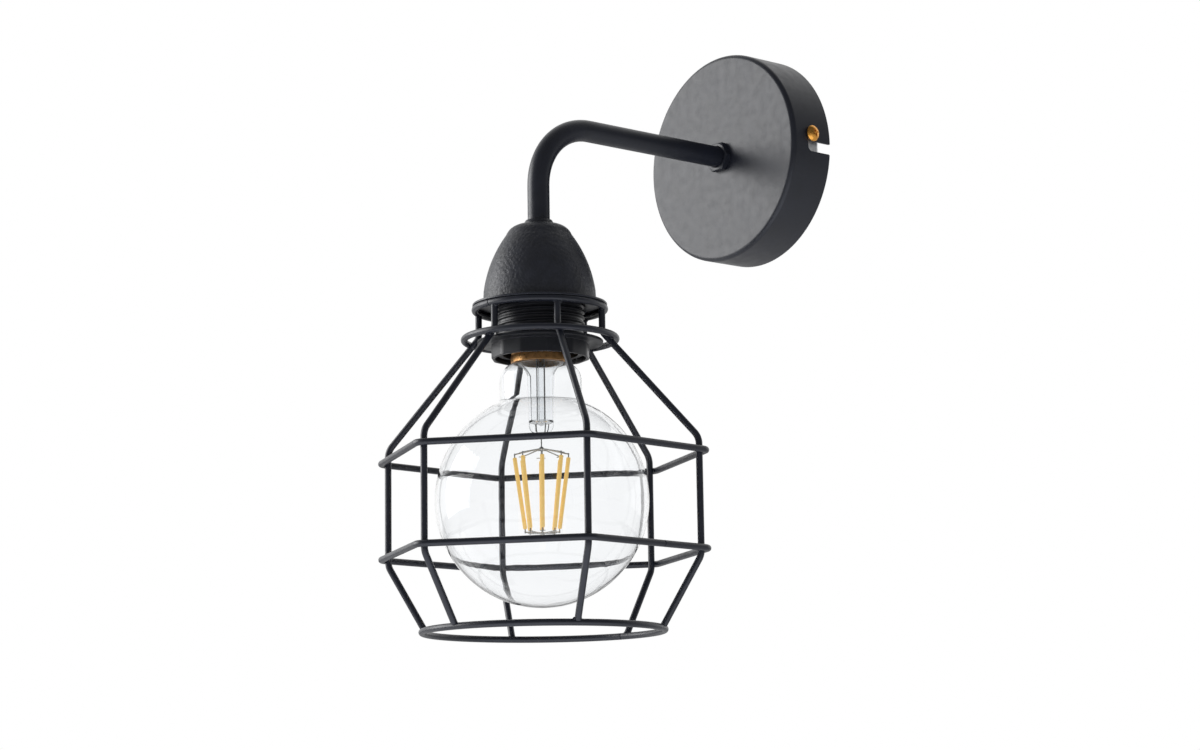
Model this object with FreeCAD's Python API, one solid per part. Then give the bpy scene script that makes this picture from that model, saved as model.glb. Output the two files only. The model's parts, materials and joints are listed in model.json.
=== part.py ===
import FreeCAD, Part
import math
import os

from FreeCAD import Vector

# Cage wall light: a round rose on the wall, a bent tube, a cast dome with a screw lampholder, a wire
# cage clamped by a shade ring, and a clear filament bulb.
# Millimetres. Origin: centre of the rose where it meets the wall. The wall is the plane y = 0, the light
# stands out towards -Y, +X is to the right for someone facing the wall, and +Z is up.

# ---- driving dimensions ------------------------------------------------------------------------------
ARM_REACH = 137.0               # wall to the axis on which the lamp hangs

ROSE_RADIUS = 50.0
ROSE_DEPTH = 24.0
ROSE_WALL = 1.0
ROSE_EDGE_RADIUS = 2.2

TUBE_RADIUS = 5.0
TUBE_BORE_RADIUS = 4.0
TUBE_BEND_RADIUS = 30.0         # centreline of the bend
TUBE_WALL_END_Y = -14.0         # the threaded end inside the rose
TUBE_LAMP_END_Z = -57.0         # the threaded end inside the dome

STRAP_THICKNESS = 1.5
STRAP_WIDTH = 18.0
STRAP_FLAT_HALF = 33.0          # half length of the part that lies on the wall
STRAP_STAND_OFF = 4.5           # how far the raised ends stand off the wall
EAR_OUTER_X = 47.7
EAR_END_Y = -19.0
SLOT_SPACING = 48.0             # wall screw slot to wall screw slot
SLOT_LENGTH = 12.0
SLOT_HALF_WIDTH = 2.5
CABLE_HOLE_RADIUS = 5.0

SIDE_SCREW_RADIUS = 2.0
SIDE_SCREW_HEAD_RADIUS = 3.8
SIDE_SCREW_HEAD_HEIGHT = 2.5
SIDE_SCREW_Y = -12.0
SIDE_SCREW_Z = 3.5              # right-hand screw; the left-hand one is turned half a turn about Y
BAYONET_HALF_WIDTH = 2.4
BAYONET_ENTRY_Z = -2.5          # height at which the right-hand slot is open to the back

DOME_TOP_Z = -48.4
DOME_BASE_Z = -84.4
DOME_BASE_RADIUS = 25.4
DOME_WALL = 2.3

HOLDER_THREAD_RADIUS = 20.0
HOLDER_THREAD_DEPTH = 0.9
HOLDER_THREAD_PITCH = 2.5
HOLDER_BORE_RADIUS = 16.8
HOLDER_TOP_Z = -75.0
HOLDER_MOUTH_Z = -107.5
RUNNING_GAP = 0.3               # between the thread and what slides or turns over it

ROD_RADIUS = 1.5                # every rod of the cage
WELD_OVERLAP = 0.15             # how far two welded rods sink into each other
ROD_COUNT = 6
CAGE_TURN = 6.3                 # how far the cage is turned from square to the wall, degrees
NECK_RADIUS = 28.5              # the rods' centrelines, from the top down
NECK_TOP_Z = -88.1
NECK_BEND_Z = -98.5
CAGE_RADIUS = 71.3
SHOULDER_Z = -147.7
HIP_Z = -199.5
MOUTH_RADIUS = 53.4
MOUTH_Z = -230.5
TOP_RING_RADIUS = 29.1
TOP_RING_Z = -86.9
SECOND_RING_RADIUS = 34.0
UPPER_HEX_Z = -153.4
LOWER_HEX_Z = -196.6
HEX_CORNER_RADIUS = 6.0
BUTT_GAP = 0.2                  # seam where the ends of one bent rod meet
PLATE_RADIUS = 30.2
PLATE_THICKNESS = 1.0

SHADE_FLANGE_RADIUS = 28.2
SHADE_FLANGE_TOP_Z = -101.2
SHADE_FLANGE_THICKNESS = 1.4
SHADE_RING_BOTTOM_Z = -109.3
SHADE_GRIP_RADIUS = 22.0
SHADE_GRIP_APOTHEM = 21.45
SHADE_GRIP_SIDES = 12

BULB_RADIUS = 47.5
BULB_CENTRE_Z = -172.7
BULB_NECK_RADIUS = 18.3
BULB_NECK_TOP_Z = -118.5
GLASS_WALL = 0.8
CAP_THREAD_PITCH = 3.629
CAP_CREST_RADIUS = 13.1
CAP_ROOT_RADIUS = 12.2
CAP_BOTTOM_Z = -111.3
CAP_TOP_Z = -90.0
TIP_Z = -85.0
TIP_THICKNESS = 1.4
SHELL_BORE_RADIUS = 13.5        # screw shell of the lampholder
SHELL_WALL = 0.4

FILAMENT_COUNT = 8
FILAMENT_RADIUS = 0.92
FILAMENT_TOP = (12.0, -153.6)   # radius and height of a filament's upper end
FILAMENT_FOOT = (7.6, -185.4)
FILAMENT_TURN = 7.0             # angle of the first filament about the lamp's axis
SUPPORT_RADIUS = 0.3
STEM_BOTTOM_Z = -142.6
STEM_PRESS_Z = -138.5           # top of the flat press that closes the stem
LEAD_WIRE_RADIUS = 0.35
LEAD_WIRE_X = 2.6

BLOCK_PITCH = 9.0               # terminal block, pole to pole
BLOCK_POLES = 3
BLOCK_SIZE_Y = 13.0
BLOCK_SIZE_Z = 17.0
BLOCK_TOP_Z = -20.0
BLOCK_BORE = 2.4
SLEEVE_BORE = 1.5
CLAMP_SCREW_RADIUS = 1.3        # terminal screws, in the block and on the lampholder
INSULATED_WIRE_RADIUS = 1.0
PAD_THICKNESS = 1.0
TAG_THICKNESS = 0.8             # lock washer and earth tag
REAR_NUT_THICKNESS = 3.0

CARRIER_TOP_Z = -76.0           # ceramic disc of the lampholder
CARRIER_BOTTOM_Z = -82.3
TERMINAL_X = 8.5
HOLDER_SCREW_Z = CARRIER_TOP_Z + 3.4
CENTRE_PASSAGE_X = -5.0
SHELL_PASSAGE_X = 11.5
STRIP_WIDTH = 4.6
STRIP_THICKNESS = 0.5

# ---- values worked out from them ---------------------------------------------------------------------
LAMP_Y = -ARM_REACH
LAMP_AXIS = Vector(0, LAMP_Y, 0)
UP = Vector(0, 0, 1)
OUT = Vector(0, -1, 0)
ROSE_FRONT_Y = -ROSE_DEPTH
ROSE_INSIDE_Y = ROSE_FRONT_Y + ROSE_WALL
PLATE_TOP_Z = TOP_RING_Z + ROD_RADIUS + PLATE_THICKNESS
SLANT = math.atan2(CAGE_RADIUS - NECK_RADIUS, NECK_BEND_Z - SHOULDER_Z)
ROD_PITCH = 2 * ROD_RADIUS - WELD_OVERLAP
EARTH_TAG_Y = ROSE_INSIDE_Y + TAG_THICKNESS
REAR_NUT_Y = EARTH_TAG_Y + TAG_THICKNESS
BLOCK_FRONT_Y = ROSE_INSIDE_Y + PAD_THICKNESS
BLOCK_BACK_Y = BLOCK_FRONT_Y + BLOCK_SIZE_Y
BLOCK_ENTRY_Y = BLOCK_FRONT_Y + 5.0
BLOCK_BOTTOM_Z = BLOCK_TOP_Z - BLOCK_SIZE_Z
BLOCK_MIDDLE_Z = (BLOCK_TOP_Z + BLOCK_BOTTOM_Z) / 2
TAG_BARREL_Y = REAR_NUT_Y + 1.0


# ---- shapes that repeat ------------------------------------------------------------------------------
def crown(rim_radius, height, at_radius):
    """How far a spherical crown of a rim radius and a height has dropped at a radius."""
    sphere = (rim_radius ** 2 + height ** 2) / (2 * height)
    return sphere - math.sqrt(sphere ** 2 - at_radius ** 2)


def save(shape, node):
    """Write one piece; a shape that isn't sound stops the run."""
    if not shape.isValid() or shape.Volume <= 0:
        raise ValueError("unsound shape: " + node)
    shape.exportStep("parts/" + node + ".step")


def cylinder(radius, start, end):
    """Round bar between two points."""
    along = Vector(end) - Vector(start)
    return Part.makeCylinder(radius, along.Length, Vector(start), along)


def lamp_point(radius, angle, z):
    """Point at a radius and an angle about the lamp's axis, in degrees from +X towards +Y."""
    turn = math.radians(angle)
    return Vector(radius * math.cos(turn), LAMP_Y + radius * math.sin(turn), z)


def disc(radius, z_low, z_high):
    """Solid cylinder on the lamp's axis."""
    return Part.makeCylinder(radius, z_high - z_low, Vector(0, LAMP_Y, z_low), UP)


def tube(outer, inner, z_low, z_high):
    """Straight-walled sleeve on the lamp's axis."""
    return disc(outer, z_low, z_high).cut(disc(inner, z_low - 1, z_high + 1))


def outline(points):
    """Closed wire through points; a point given as ("arc", middle, end) ends an arc."""
    edges = []
    here = Vector(*points[0])
    for item in points[1:]:
        if item[0] == "arc":
            end = Vector(*item[2])
            edges.append(Part.Arc(here, Vector(*item[1]), end).toShape())
        else:
            end = Vector(*item)
            edges.append(Part.makeLine(here, end))
        here = end
    start = Vector(*points[0])
    if (here - start).Length > 1e-6:
        edges.append(Part.makeLine(here, start))
    return Part.Wire(edges)


def turned_on_lamp(profile):
    """Turn a profile of (radius, z) points about the lamp's axis."""
    def place(point):
        return (point[0], LAMP_Y, point[1])
    points = [("arc", place(p[1]), place(p[2])) if p[0] == "arc" else place(p) for p in profile]
    return Part.Face(outline(points)).revolve(LAMP_AXIS, UP, 360)


def turned_on_rose(profile):
    """Turn a profile of (radius, y) points about the rose's axis."""
    def place(point):
        return (point[0], point[1], 0)
    points = [("arc", place(p[1]), place(p[2])) if p[0] == "arc" else place(p) for p in profile]
    return Part.Face(outline(points)).revolve(Vector(0, 0, 0), Vector(0, 1, 0), 360)


def rounded_path(points, radii):
    """Straight runs through the points, joined by tangent arcs of the given radii."""
    corners = [Vector(*p) for p in points]
    edges = []
    here = corners[0]
    for before, corner, after, radius in zip(corners, corners[1:], corners[2:], radii):
        incoming = (corner - before).normalize()
        outgoing = (after - corner).normalize()
        half_turn = incoming.getAngle(outgoing) / 2
        reach = radius * math.tan(half_turn)
        arc_start = corner - incoming * reach
        arc_end = corner + outgoing * reach
        inward = (outgoing - incoming).normalize()
        arc_middle = corner + inward * (radius / math.cos(half_turn) - radius)
        if (arc_start - here).Length > 1e-6:
            edges.append(Part.makeLine(here, arc_start))
        edges.append(Part.Arc(arc_start, arc_middle, arc_end).toShape())
        here = arc_end
    edges.append(Part.makeLine(here, corners[-1]))
    return Part.Wire(edges)


def swept_rod(path, radius):
    """Round rod along a path of runs and arcs."""
    start = path.OrderedVertexes[0].Point
    along = path.OrderedEdges[0].tangentAt(path.OrderedEdges[0].FirstParameter)
    if (path.OrderedEdges[0].valueAt(path.OrderedEdges[0].FirstParameter) - start).Length > 1e-6:
        along = path.OrderedEdges[0].tangentAt(path.OrderedEdges[0].LastParameter) * -1
    section = Part.Wire(Part.makeCircle(radius, start, along))
    rod = path.makePipeShell([section], True, False)
    return Part.Solid(rod) if rod.ShapeType == "Shell" else rod


def round_ring(radius, z, seam_angle):
    """Ring bent from one rod, whose ends meet at a butt seam."""
    gap = math.degrees(BUTT_GAP / radius)
    section = Part.Face(Part.Wire(Part.makeCircle(ROD_RADIUS, Vector(radius, LAMP_Y, z), Vector(0, 1, 0))))
    ring = section.revolve(LAMP_AXIS, UP, 360 - gap)
    ring.rotate(LAMP_AXIS, UP, seam_angle + gap / 2)
    return ring


def hex_ring(z, seam_side, seam_share):
    """Six-sided ring bent from one rod round the outside of the upright rods.

    seam_side counts the sides from the first rod, and seam_share is how far along that side the rod's
    ends meet.
    """
    corner_distance = CAGE_RADIUS + ROD_PITCH + HEX_CORNER_RADIUS * (1 / math.cos(math.pi / ROD_COUNT) - 1)
    corners = [lamp_point(corner_distance, rod_angle(k), z) for k in range(ROD_COUNT)]
    first = corners[seam_side % ROD_COUNT]
    second = corners[(seam_side + 1) % ROD_COUNT]
    along = (second - first).normalize()
    seam = first + (second - first) * seam_share
    order = [corners[(seam_side + 1 + k) % ROD_COUNT] for k in range(ROD_COUNT)]
    route = [seam + along * (BUTT_GAP / 2)] + order + [seam - along * (BUTT_GAP / 2)]
    return swept_rod(rounded_path(route, [HEX_CORNER_RADIUS] * ROD_COUNT), ROD_RADIUS)


def hexagon_nut(across_flats, face_y, thickness):
    """Six-sided nut on the rose's axis, with its corners turned off, from a face outwards."""
    flat = across_flats / 2
    corner = flat / math.cos(math.pi / 6)
    chamfer = 0.6
    corners = [Vector(corner * math.cos(math.pi / 3 * k), face_y, corner * math.sin(math.pi / 3 * k))
               for k in range(6)]
    prism = Part.Face(Part.makePolygon(corners + corners[:1])).extrude(OUT * thickness)
    outer_y = face_y - thickness
    blank = turned_on_rose([(TUBE_RADIUS, face_y), (flat, face_y), (corner, face_y - chamfer),
                            (corner, outer_y + chamfer), (flat, outer_y), (TUBE_RADIUS, outer_y)])
    return prism.common(blank)


def rod_angle(k):
    """Angle of upright rod k about the lamp's axis."""
    return 30 + CAGE_TURN + 360 / ROD_COUNT * k


def conductor(points):
    """Insulated wire; each bend is as wide as its two runs allow."""
    radii = []
    for before, corner, after in zip(points, points[1:], points[2:]):
        first = Vector(*corner) - Vector(*before)
        second = Vector(*after) - Vector(*corner)
        shorter = min(first.Length, second.Length)
        radii.append(0.45 * shorter / math.tan(first.getAngle(second) / 2))
    print("bend radii", [round(r, 1) for r in radii])
    return swept_rod(rounded_path(points, radii), INSULATED_WIRE_RADIUS)


# ---- the wall bracket and its screws -----------------------------------------------------------------
def wall_bracket():
    """Zinc-plated strap: flat on the wall, ends raised, and an ear bent forward at each end."""
    ear_x = EAR_OUTER_X - STRAP_THICKNESS / 2
    raised_y = -STRAP_STAND_OFF - STRAP_THICKNESS / 2
    flat_y = -STRAP_THICKNESS / 2
    right_half = [(STRAP_FLAT_HALF, flat_y, 0),
                  (STRAP_FLAT_HALF + STRAP_STAND_OFF, raised_y, 0),
                  (ear_x, raised_y, 0),
                  (ear_x, EAR_END_Y, 0)]
    left_half = [(-x, y, z) for x, y, z in reversed(right_half)]
    path = rounded_path(left_half + right_half, [1.75, 2.0, 2.0, 2.0, 2.0, 1.75])
    section = outline([(-EAR_OUTER_X, EAR_END_Y, -STRAP_WIDTH / 2),
                       (-EAR_OUTER_X + STRAP_THICKNESS, EAR_END_Y, -STRAP_WIDTH / 2),
                       (-EAR_OUTER_X + STRAP_THICKNESS, EAR_END_Y, STRAP_WIDTH / 2),
                       (-EAR_OUTER_X, EAR_END_Y, STRAP_WIDTH / 2)])
    strap = path.makePipeShell([section], True, False)
    through = 5.0                   # how far a cutter reaches past the flat part, each way
    collar_radius = 3.2             # drawn collar that gives the side screw its thread
    collar_depth = 1.6
    straight = SLOT_LENGTH / 2 - SLOT_HALF_WIDTH
    for side in (1, -1):
        ear_inside = (side * (EAR_OUTER_X - STRAP_THICKNESS), SIDE_SCREW_Y, side * SIDE_SCREW_Z)
        collar_end = (ear_inside[0] - side * collar_depth, SIDE_SCREW_Y, side * SIDE_SCREW_Z)
        strap = strap.fuse(cylinder(collar_radius, ear_inside, collar_end))
        strap = strap.cut(cylinder(SIDE_SCREW_RADIUS,
                                   (ear_inside[0] + side * through, SIDE_SCREW_Y, side * SIDE_SCREW_Z),
                                   (ear_inside[0] - side * through, SIDE_SCREW_Y, side * SIDE_SCREW_Z)))
        centre = side * SLOT_SPACING / 2
        strap = strap.cut(Part.makeBox(2 * straight, 2 * through, 2 * SLOT_HALF_WIDTH,
                                       Vector(centre - straight, -through, -SLOT_HALF_WIDTH)))
        for end in (centre - straight, centre + straight):
            strap = strap.cut(cylinder(SLOT_HALF_WIDTH, (end, -through, 0), (end, through, 0)))
    return strap.cut(cylinder(CABLE_HOLE_RADIUS, (0, -through, 0), (0, through, 0)))


def side_screw(side):
    """Brass pan-head screw with a cross recess, driven from the side into an ear."""
    seat = ROSE_RADIUS + RUNNING_GAP
    shank_end = EAR_OUTER_X - 6.0
    head_top = seat + SIDE_SCREW_HEAD_HEIGHT
    rim_height = 0.7
    recess_depth = 1.5
    recess_length = 4.0
    recess_width = 0.9
    recess_turn = 20                # as it was left, degrees
    half_way = SIDE_SCREW_HEAD_RADIUS / 2
    drop = crown(SIDE_SCREW_HEAD_RADIUS, SIDE_SCREW_HEAD_HEIGHT - rim_height, half_way)
    profile = outline([(shank_end, 0, 0), (shank_end, SIDE_SCREW_RADIUS, 0), (seat, SIDE_SCREW_RADIUS, 0),
                       (seat, SIDE_SCREW_HEAD_RADIUS, 0), (seat + rim_height, SIDE_SCREW_HEAD_RADIUS, 0),
                       ("arc", (head_top - drop, half_way, 0), (head_top, 0, 0))])
    screw = Part.Face(profile).revolve(Vector(0, 0, 0), Vector(1, 0, 0), 360)
    for turn in (0, 90):
        blade = Part.makeBox(2 * recess_depth, recess_length, recess_width,
                             Vector(head_top - recess_depth, -recess_length / 2, -recess_width / 2))
        blade.rotate(Vector(0, 0, 0), Vector(1, 0, 0), turn + recess_turn)
        screw = screw.cut(blade)
    screw.translate(Vector(0, SIDE_SCREW_Y, SIDE_SCREW_Z))
    if side < 0:
        screw.rotate(Vector(0, 0, 0), Vector(0, 1, 0), 180)
    return screw


# ---- the rose and what it holds ----------------------------------------------------------------------
def rose_cup():
    """Spun cup with two L-shaped slots that hang it on the side screws."""
    edge = ROSE_EDGE_RADIUS
    inner_edge = edge - ROSE_WALL
    diagonal = math.sqrt(0.5)
    corner_r = ROSE_RADIUS - edge
    corner_y = ROSE_FRONT_Y + edge
    inside = ROSE_RADIUS - ROSE_WALL
    hole = TUBE_RADIUS + 0.1
    cup = turned_on_rose([
        (hole, ROSE_FRONT_Y), (corner_r, ROSE_FRONT_Y),
        ("arc", (corner_r + edge * diagonal, corner_y - edge * diagonal), (ROSE_RADIUS, corner_y)),
        (ROSE_RADIUS, 0), (inside, 0), (inside, corner_y),
        ("arc", (corner_r + inner_edge * diagonal, corner_y - inner_edge * diagonal),
         (corner_r, ROSE_INSIDE_Y)),
        (hole, ROSE_INSIDE_Y)])
    half = BAYONET_HALF_WIDTH
    cut_from = ROSE_RADIUS - 6.0
    cut_to = ROSE_RADIUS + 6.0
    entry = Part.makeBox(cut_to - cut_from, 1.0 - SIDE_SCREW_Y, 2 * half,
                         Vector(cut_from, SIDE_SCREW_Y, BAYONET_ENTRY_Z - half))
    channel = Part.makeBox(cut_to - cut_from, 2 * half, SIDE_SCREW_Z - BAYONET_ENTRY_Z,
                           Vector(cut_from, SIDE_SCREW_Y - half, BAYONET_ENTRY_Z))
    slot = entry.fuse([channel] + [cylinder(half, (cut_from, SIDE_SCREW_Y, z), (cut_to, SIDE_SCREW_Y, z))
                                   for z in (BAYONET_ENTRY_Z, SIDE_SCREW_Z)])
    other = slot.copy()
    other.rotate(Vector(0, 0, 0), Vector(0, 1, 0), 180)
    return cup.cut([slot, other])


def arm_tube():
    """Tube from inside the rose, out from the wall and down into the dome in one bend."""
    route = [(0, TUBE_WALL_END_Y, 0), (0, LAMP_Y, 0), (0, LAMP_Y, TUBE_LAMP_END_Z)]
    path = rounded_path(route, [TUBE_BEND_RADIUS])
    return swept_rod(path, TUBE_RADIUS).cut(swept_rod(path, TUBE_BORE_RADIUS))


def lock_washer():
    """Toothed washer between the rose and the rear nut."""
    outer = 8.0
    notch_depth = 1.1
    notch_width = 1.2
    teeth = 12
    washer = cylinder(outer, (0, ROSE_INSIDE_Y, 0), (0, EARTH_TAG_Y, 0))
    washer = washer.cut(cylinder(TUBE_RADIUS, (0, ROSE_INSIDE_Y - 1, 0), (0, EARTH_TAG_Y + 1, 0)))
    for k in range(teeth):
        notch = Part.makeBox(2 * notch_depth, 2 + TAG_THICKNESS, notch_width,
                             Vector(outer - notch_depth, ROSE_INSIDE_Y - 1, -notch_width / 2))
        notch.rotate(Vector(0, 0, 0), Vector(0, 1, 0), 360 / teeth * k)
        washer = washer.cut(notch)
    return washer


def earth_tag():
    """Ring tag under the rear nut, with a tail for the earth wire."""
    tail_width = 4.4
    tail_end_z = -13.0
    barrel_top_z = -10.0
    barrel_end_z = -14.5
    ring = cylinder(7.6, (0, EARTH_TAG_Y, 0), (0, REAR_NUT_Y, 0))
    tail = Part.makeBox(tail_width, TAG_THICKNESS, -tail_end_z,
                        Vector(-tail_width / 2, EARTH_TAG_Y, tail_end_z))
    barrel = cylinder(1.9, (0, TAG_BARREL_Y, barrel_top_z), (0, TAG_BARREL_Y, barrel_end_z))
    barrel = barrel.cut(cylinder(INSULATED_WIRE_RADIUS, (0, TAG_BARREL_Y, barrel_top_z + 1),
                                 (0, TAG_BARREL_Y, barrel_end_z - 1)))
    tag = ring.fuse([tail, barrel])
    return tag.cut(cylinder(TUBE_RADIUS, (0, EARTH_TAG_Y - 1, 0), (0, REAR_NUT_Y + 1, 0))).removeSplitter()


def pole_x(k):
    """Place of pole k of the terminal block."""
    return BLOCK_PITCH * (k - (BLOCK_POLES - 1) / 2)


def terminal_block():
    """Moulded block with three poles, a bore through each and two screw wells over each."""
    gap = 1.6                       # between one pole and the next
    well_radius = 2.0
    bridge_depth = 5.0
    bridge_height = 6.0
    bridge_width = (BLOCK_POLES - 1) * BLOCK_PITCH
    block = Part.makeBox(bridge_width, bridge_depth, bridge_height,
                         Vector(-bridge_width / 2, BLOCK_FRONT_Y, BLOCK_MIDDLE_Z - bridge_height / 2))
    for k in range(BLOCK_POLES):
        block = block.fuse(Part.makeBox(BLOCK_PITCH - gap, BLOCK_SIZE_Y, BLOCK_SIZE_Z,
                                        Vector(pole_x(k) - (BLOCK_PITCH - gap) / 2, BLOCK_FRONT_Y,
                                               BLOCK_BOTTOM_Z)))
    block = block.removeSplitter()
    for k in range(BLOCK_POLES):
        x = pole_x(k)
        block = block.cut(cylinder(BLOCK_BORE, (x, BLOCK_ENTRY_Y, BLOCK_BOTTOM_Z - 1),
                                   (x, BLOCK_ENTRY_Y, BLOCK_TOP_Z + 1)))
        for z in block_screw_heights():
            block = block.cut(cylinder(well_radius, (x, BLOCK_ENTRY_Y, z), (x, BLOCK_BACK_Y + 1, z)))
    return block


def block_screw_heights():
    """Heights of the two clamping screws of every pole."""
    half_spacing = 4.0
    return (BLOCK_MIDDLE_Z + half_spacing, BLOCK_MIDDLE_Z - half_spacing)


def terminal_sleeves():
    """Brass sleeves of the block, one to a pole."""
    sleeves = []
    for k in range(BLOCK_POLES):
        x = pole_x(k)
        low = (x, BLOCK_ENTRY_Y, BLOCK_BOTTOM_Z + 2)
        high = (x, BLOCK_ENTRY_Y, BLOCK_TOP_Z - 2)
        sleeve = cylinder(BLOCK_BORE, low, high)
        sleeve = sleeve.cut(cylinder(SLEEVE_BORE, (x, BLOCK_ENTRY_Y, BLOCK_BOTTOM_Z),
                                     (x, BLOCK_ENTRY_Y, BLOCK_TOP_Z)))
        for z in block_screw_heights():
            sleeve = sleeve.cut(cylinder(CLAMP_SCREW_RADIUS, (x, BLOCK_ENTRY_Y, z), (x, BLOCK_BACK_Y, z)))
        sleeves.append(sleeve)
    return Part.makeCompound(sleeves)


def driver_slit(x, y, z):
    """Cutter for a screwdriver's slit, 0.8 deep in a head that faces along Y."""
    width = 0.6
    length = 5.0
    return Part.makeBox(length, 0.8, width, Vector(x - length / 2, y, z - width / 2))


def terminal_screws():
    """Slotted clamping screws of the block, two to a pole."""
    screws = []
    for k in range(BLOCK_POLES):
        for z in block_screw_heights():
            foot = (pole_x(k), BLOCK_ENTRY_Y + 1.1, z)
            neck = (pole_x(k), BLOCK_ENTRY_Y + 2.6, z)
            top = (pole_x(k), BLOCK_BACK_Y - 1.2, z)
            screw = cylinder(CLAMP_SCREW_RADIUS, foot, neck).fuse(cylinder(1.8, neck, top))
            screws.append(screw.removeSplitter().cut(driver_slit(pole_x(k), top[1] - 0.8, z)))
    return Part.makeCompound(screws)


def terminal_pad():
    """Foam pad that holds the block to the inside of the rose."""
    width = (BLOCK_POLES - 1) * BLOCK_PITCH
    height = 10.0
    return Part.makeBox(width, PAD_THICKNESS, height,
                        Vector(-width / 2, ROSE_INSIDE_Y, BLOCK_MIDDLE_Z - height / 2))


# ---- the wires inside --------------------------------------------------------------------------------
def supply_wire(side):
    """Live (left) or neutral (right) wire: block, tube, dome, lampholder terminal."""
    bore_x = side * 1.5
    points = [
        (side * BLOCK_PITCH, BLOCK_ENTRY_Y, BLOCK_TOP_Z - 2),
        (side * BLOCK_PITCH, BLOCK_ENTRY_Y, BLOCK_TOP_Z + 5),
        (side * 4.0, TUBE_WALL_END_Y + 7.5, -9.0),
        (bore_x, TUBE_WALL_END_Y + 8.0, 0),
        (bore_x, LAMP_Y, 0),
        (bore_x, LAMP_Y, TUBE_LAMP_END_Z - 2.0),
        (side * TERMINAL_X, LAMP_Y, CARRIER_TOP_Z + 10.0),
        (side * TERMINAL_X, LAMP_Y, CARRIER_TOP_Z + 5.5)]
    radii = [3.0, 4.0, 3.0, TUBE_BEND_RADIUS, 4.0, 3.0]
    return swept_rod(rounded_path(points, radii), INSULATED_WIRE_RADIUS)


# ---- the lampholder ----------------------------------------------------------------------------------
def top_collar():
    """Low conical lock nut between the tube and the dome."""
    return turned_on_lamp([(TUBE_RADIUS, DOME_TOP_Z), (6.9, DOME_TOP_Z), (6.7, DOME_TOP_Z + 0.9),
                           (5.9, DOME_TOP_Z + 2.4), (TUBE_RADIUS, DOME_TOP_Z + 2.4)])


def dome_profile(inset):
    """Outline of the dome's flank from the crown to the base, drawn in by a wall."""
    return [(9.5 - 0.4 * inset, DOME_TOP_Z - inset),
            ("arc", (12.9 - 0.75 * inset, DOME_TOP_Z - 1.7 - 0.9 * inset),
             (14.9 - 0.8 * inset, -53.0 - 0.6 * inset)),
            ("arc", (21.2 - 0.9 * inset, -64.2 - 0.3 * inset), (25.1 - inset, -78.5)),
            (DOME_BASE_RADIUS - inset, DOME_BASE_Z)]


def dome_cap():
    """Cast dome, screwed on the tube's end, with the lampholder screwed into its base."""
    outer = turned_on_lamp([(0, DOME_TOP_Z)] + dome_profile(0) + [(0, DOME_BASE_Z)])
    inner = turned_on_lamp([(0, DOME_TOP_Z - DOME_WALL)] + dome_profile(DOME_WALL) + [(0, DOME_BASE_Z)])
    boss = disc(8.0, TUBE_LAMP_END_Z + 3.0, DOME_TOP_Z - 1.0)
    collar = tube(DOME_BASE_RADIUS - 1.5, HOLDER_THREAD_RADIUS, DOME_BASE_Z, HOLDER_TOP_Z + 1.0)
    shell = outer.cut(inner).fuse([boss, collar.common(outer)])
    return shell.cut(disc(TUBE_RADIUS, TUBE_LAMP_END_Z - 5, DOME_TOP_Z + 5)).removeSplitter()


def holder_body():
    """Moulded sleeve with a coarse outside thread and a lip that carries the contact carrier."""
    crest = HOLDER_THREAD_RADIUS
    root = crest - HOLDER_THREAD_DEPTH
    top = HOLDER_TOP_Z
    profile = [(HOLDER_BORE_RADIUS, top), (root, top)]
    turns = int((top - HOLDER_MOUTH_Z) / HOLDER_THREAD_PITCH)
    for k in range(turns):
        z = top - HOLDER_THREAD_PITCH * k
        profile += [(root, z - 0.6), (crest, z - 1.1), (crest, z - 1.6), (root, z - 2.1)]
    profile += [(root, HOLDER_MOUTH_Z), (HOLDER_BORE_RADIUS, HOLDER_MOUTH_Z),
                (HOLDER_BORE_RADIUS, -83.8), (15.0, -83.8), (15.0, -82.3), (HOLDER_BORE_RADIUS, -82.3)]
    return turned_on_lamp(profile)


def contact_carrier():
    """Ceramic disc on the holder's lip, with the passages of the two contacts."""
    carrier = disc(HOLDER_BORE_RADIUS - 0.2, CARRIER_BOTTOM_Z, CARRIER_TOP_Z)
    for x in (CENTRE_PASSAGE_X, SHELL_PASSAGE_X):
        carrier = carrier.cut(Part.makeBox(0.8, 5.2, 20, Vector(x - 0.4, LAMP_Y - 2.6, CARRIER_BOTTOM_Z - 5)))
    return carrier


def screw_shell():
    """Brass shell that takes the bulb's screw cap, with a flange under the carrier."""
    outer = SHELL_BORE_RADIUS + SHELL_WALL
    flange_bore = 11.0
    flange_low = CARRIER_BOTTOM_Z - SHELL_WALL
    return turned_on_lamp([(flange_bore, CARRIER_BOTTOM_Z), (outer, CARRIER_BOTTOM_Z), (outer, -104.5),
                           (outer + 0.6, -105.4), (outer + 0.2, -105.6), (SHELL_BORE_RADIUS, -104.6),
                           (SHELL_BORE_RADIUS, flange_low), (flange_bore, flange_low)])


def bent_strip(points):
    """Contact strip along points of the x-z plane through the lamp's axis."""
    thickness = STRIP_THICKNESS
    strip = None
    for (x0, z0), (x1, z1) in zip(points, points[1:]):
        run = math.hypot(x1 - x0, z1 - z0)
        piece = Part.makeBox(run + thickness, STRIP_WIDTH, thickness,
                             Vector(-thickness / 2, -STRIP_WIDTH / 2, -thickness / 2))
        piece.rotate(Vector(0, 0, 0), Vector(0, 1, 0), -math.degrees(math.atan2(z1 - z0, x1 - x0)))
        piece.translate(Vector(x0, LAMP_Y, z0))
        strip = piece if strip is None else strip.fuse(piece)
    return strip.removeSplitter()


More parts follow.
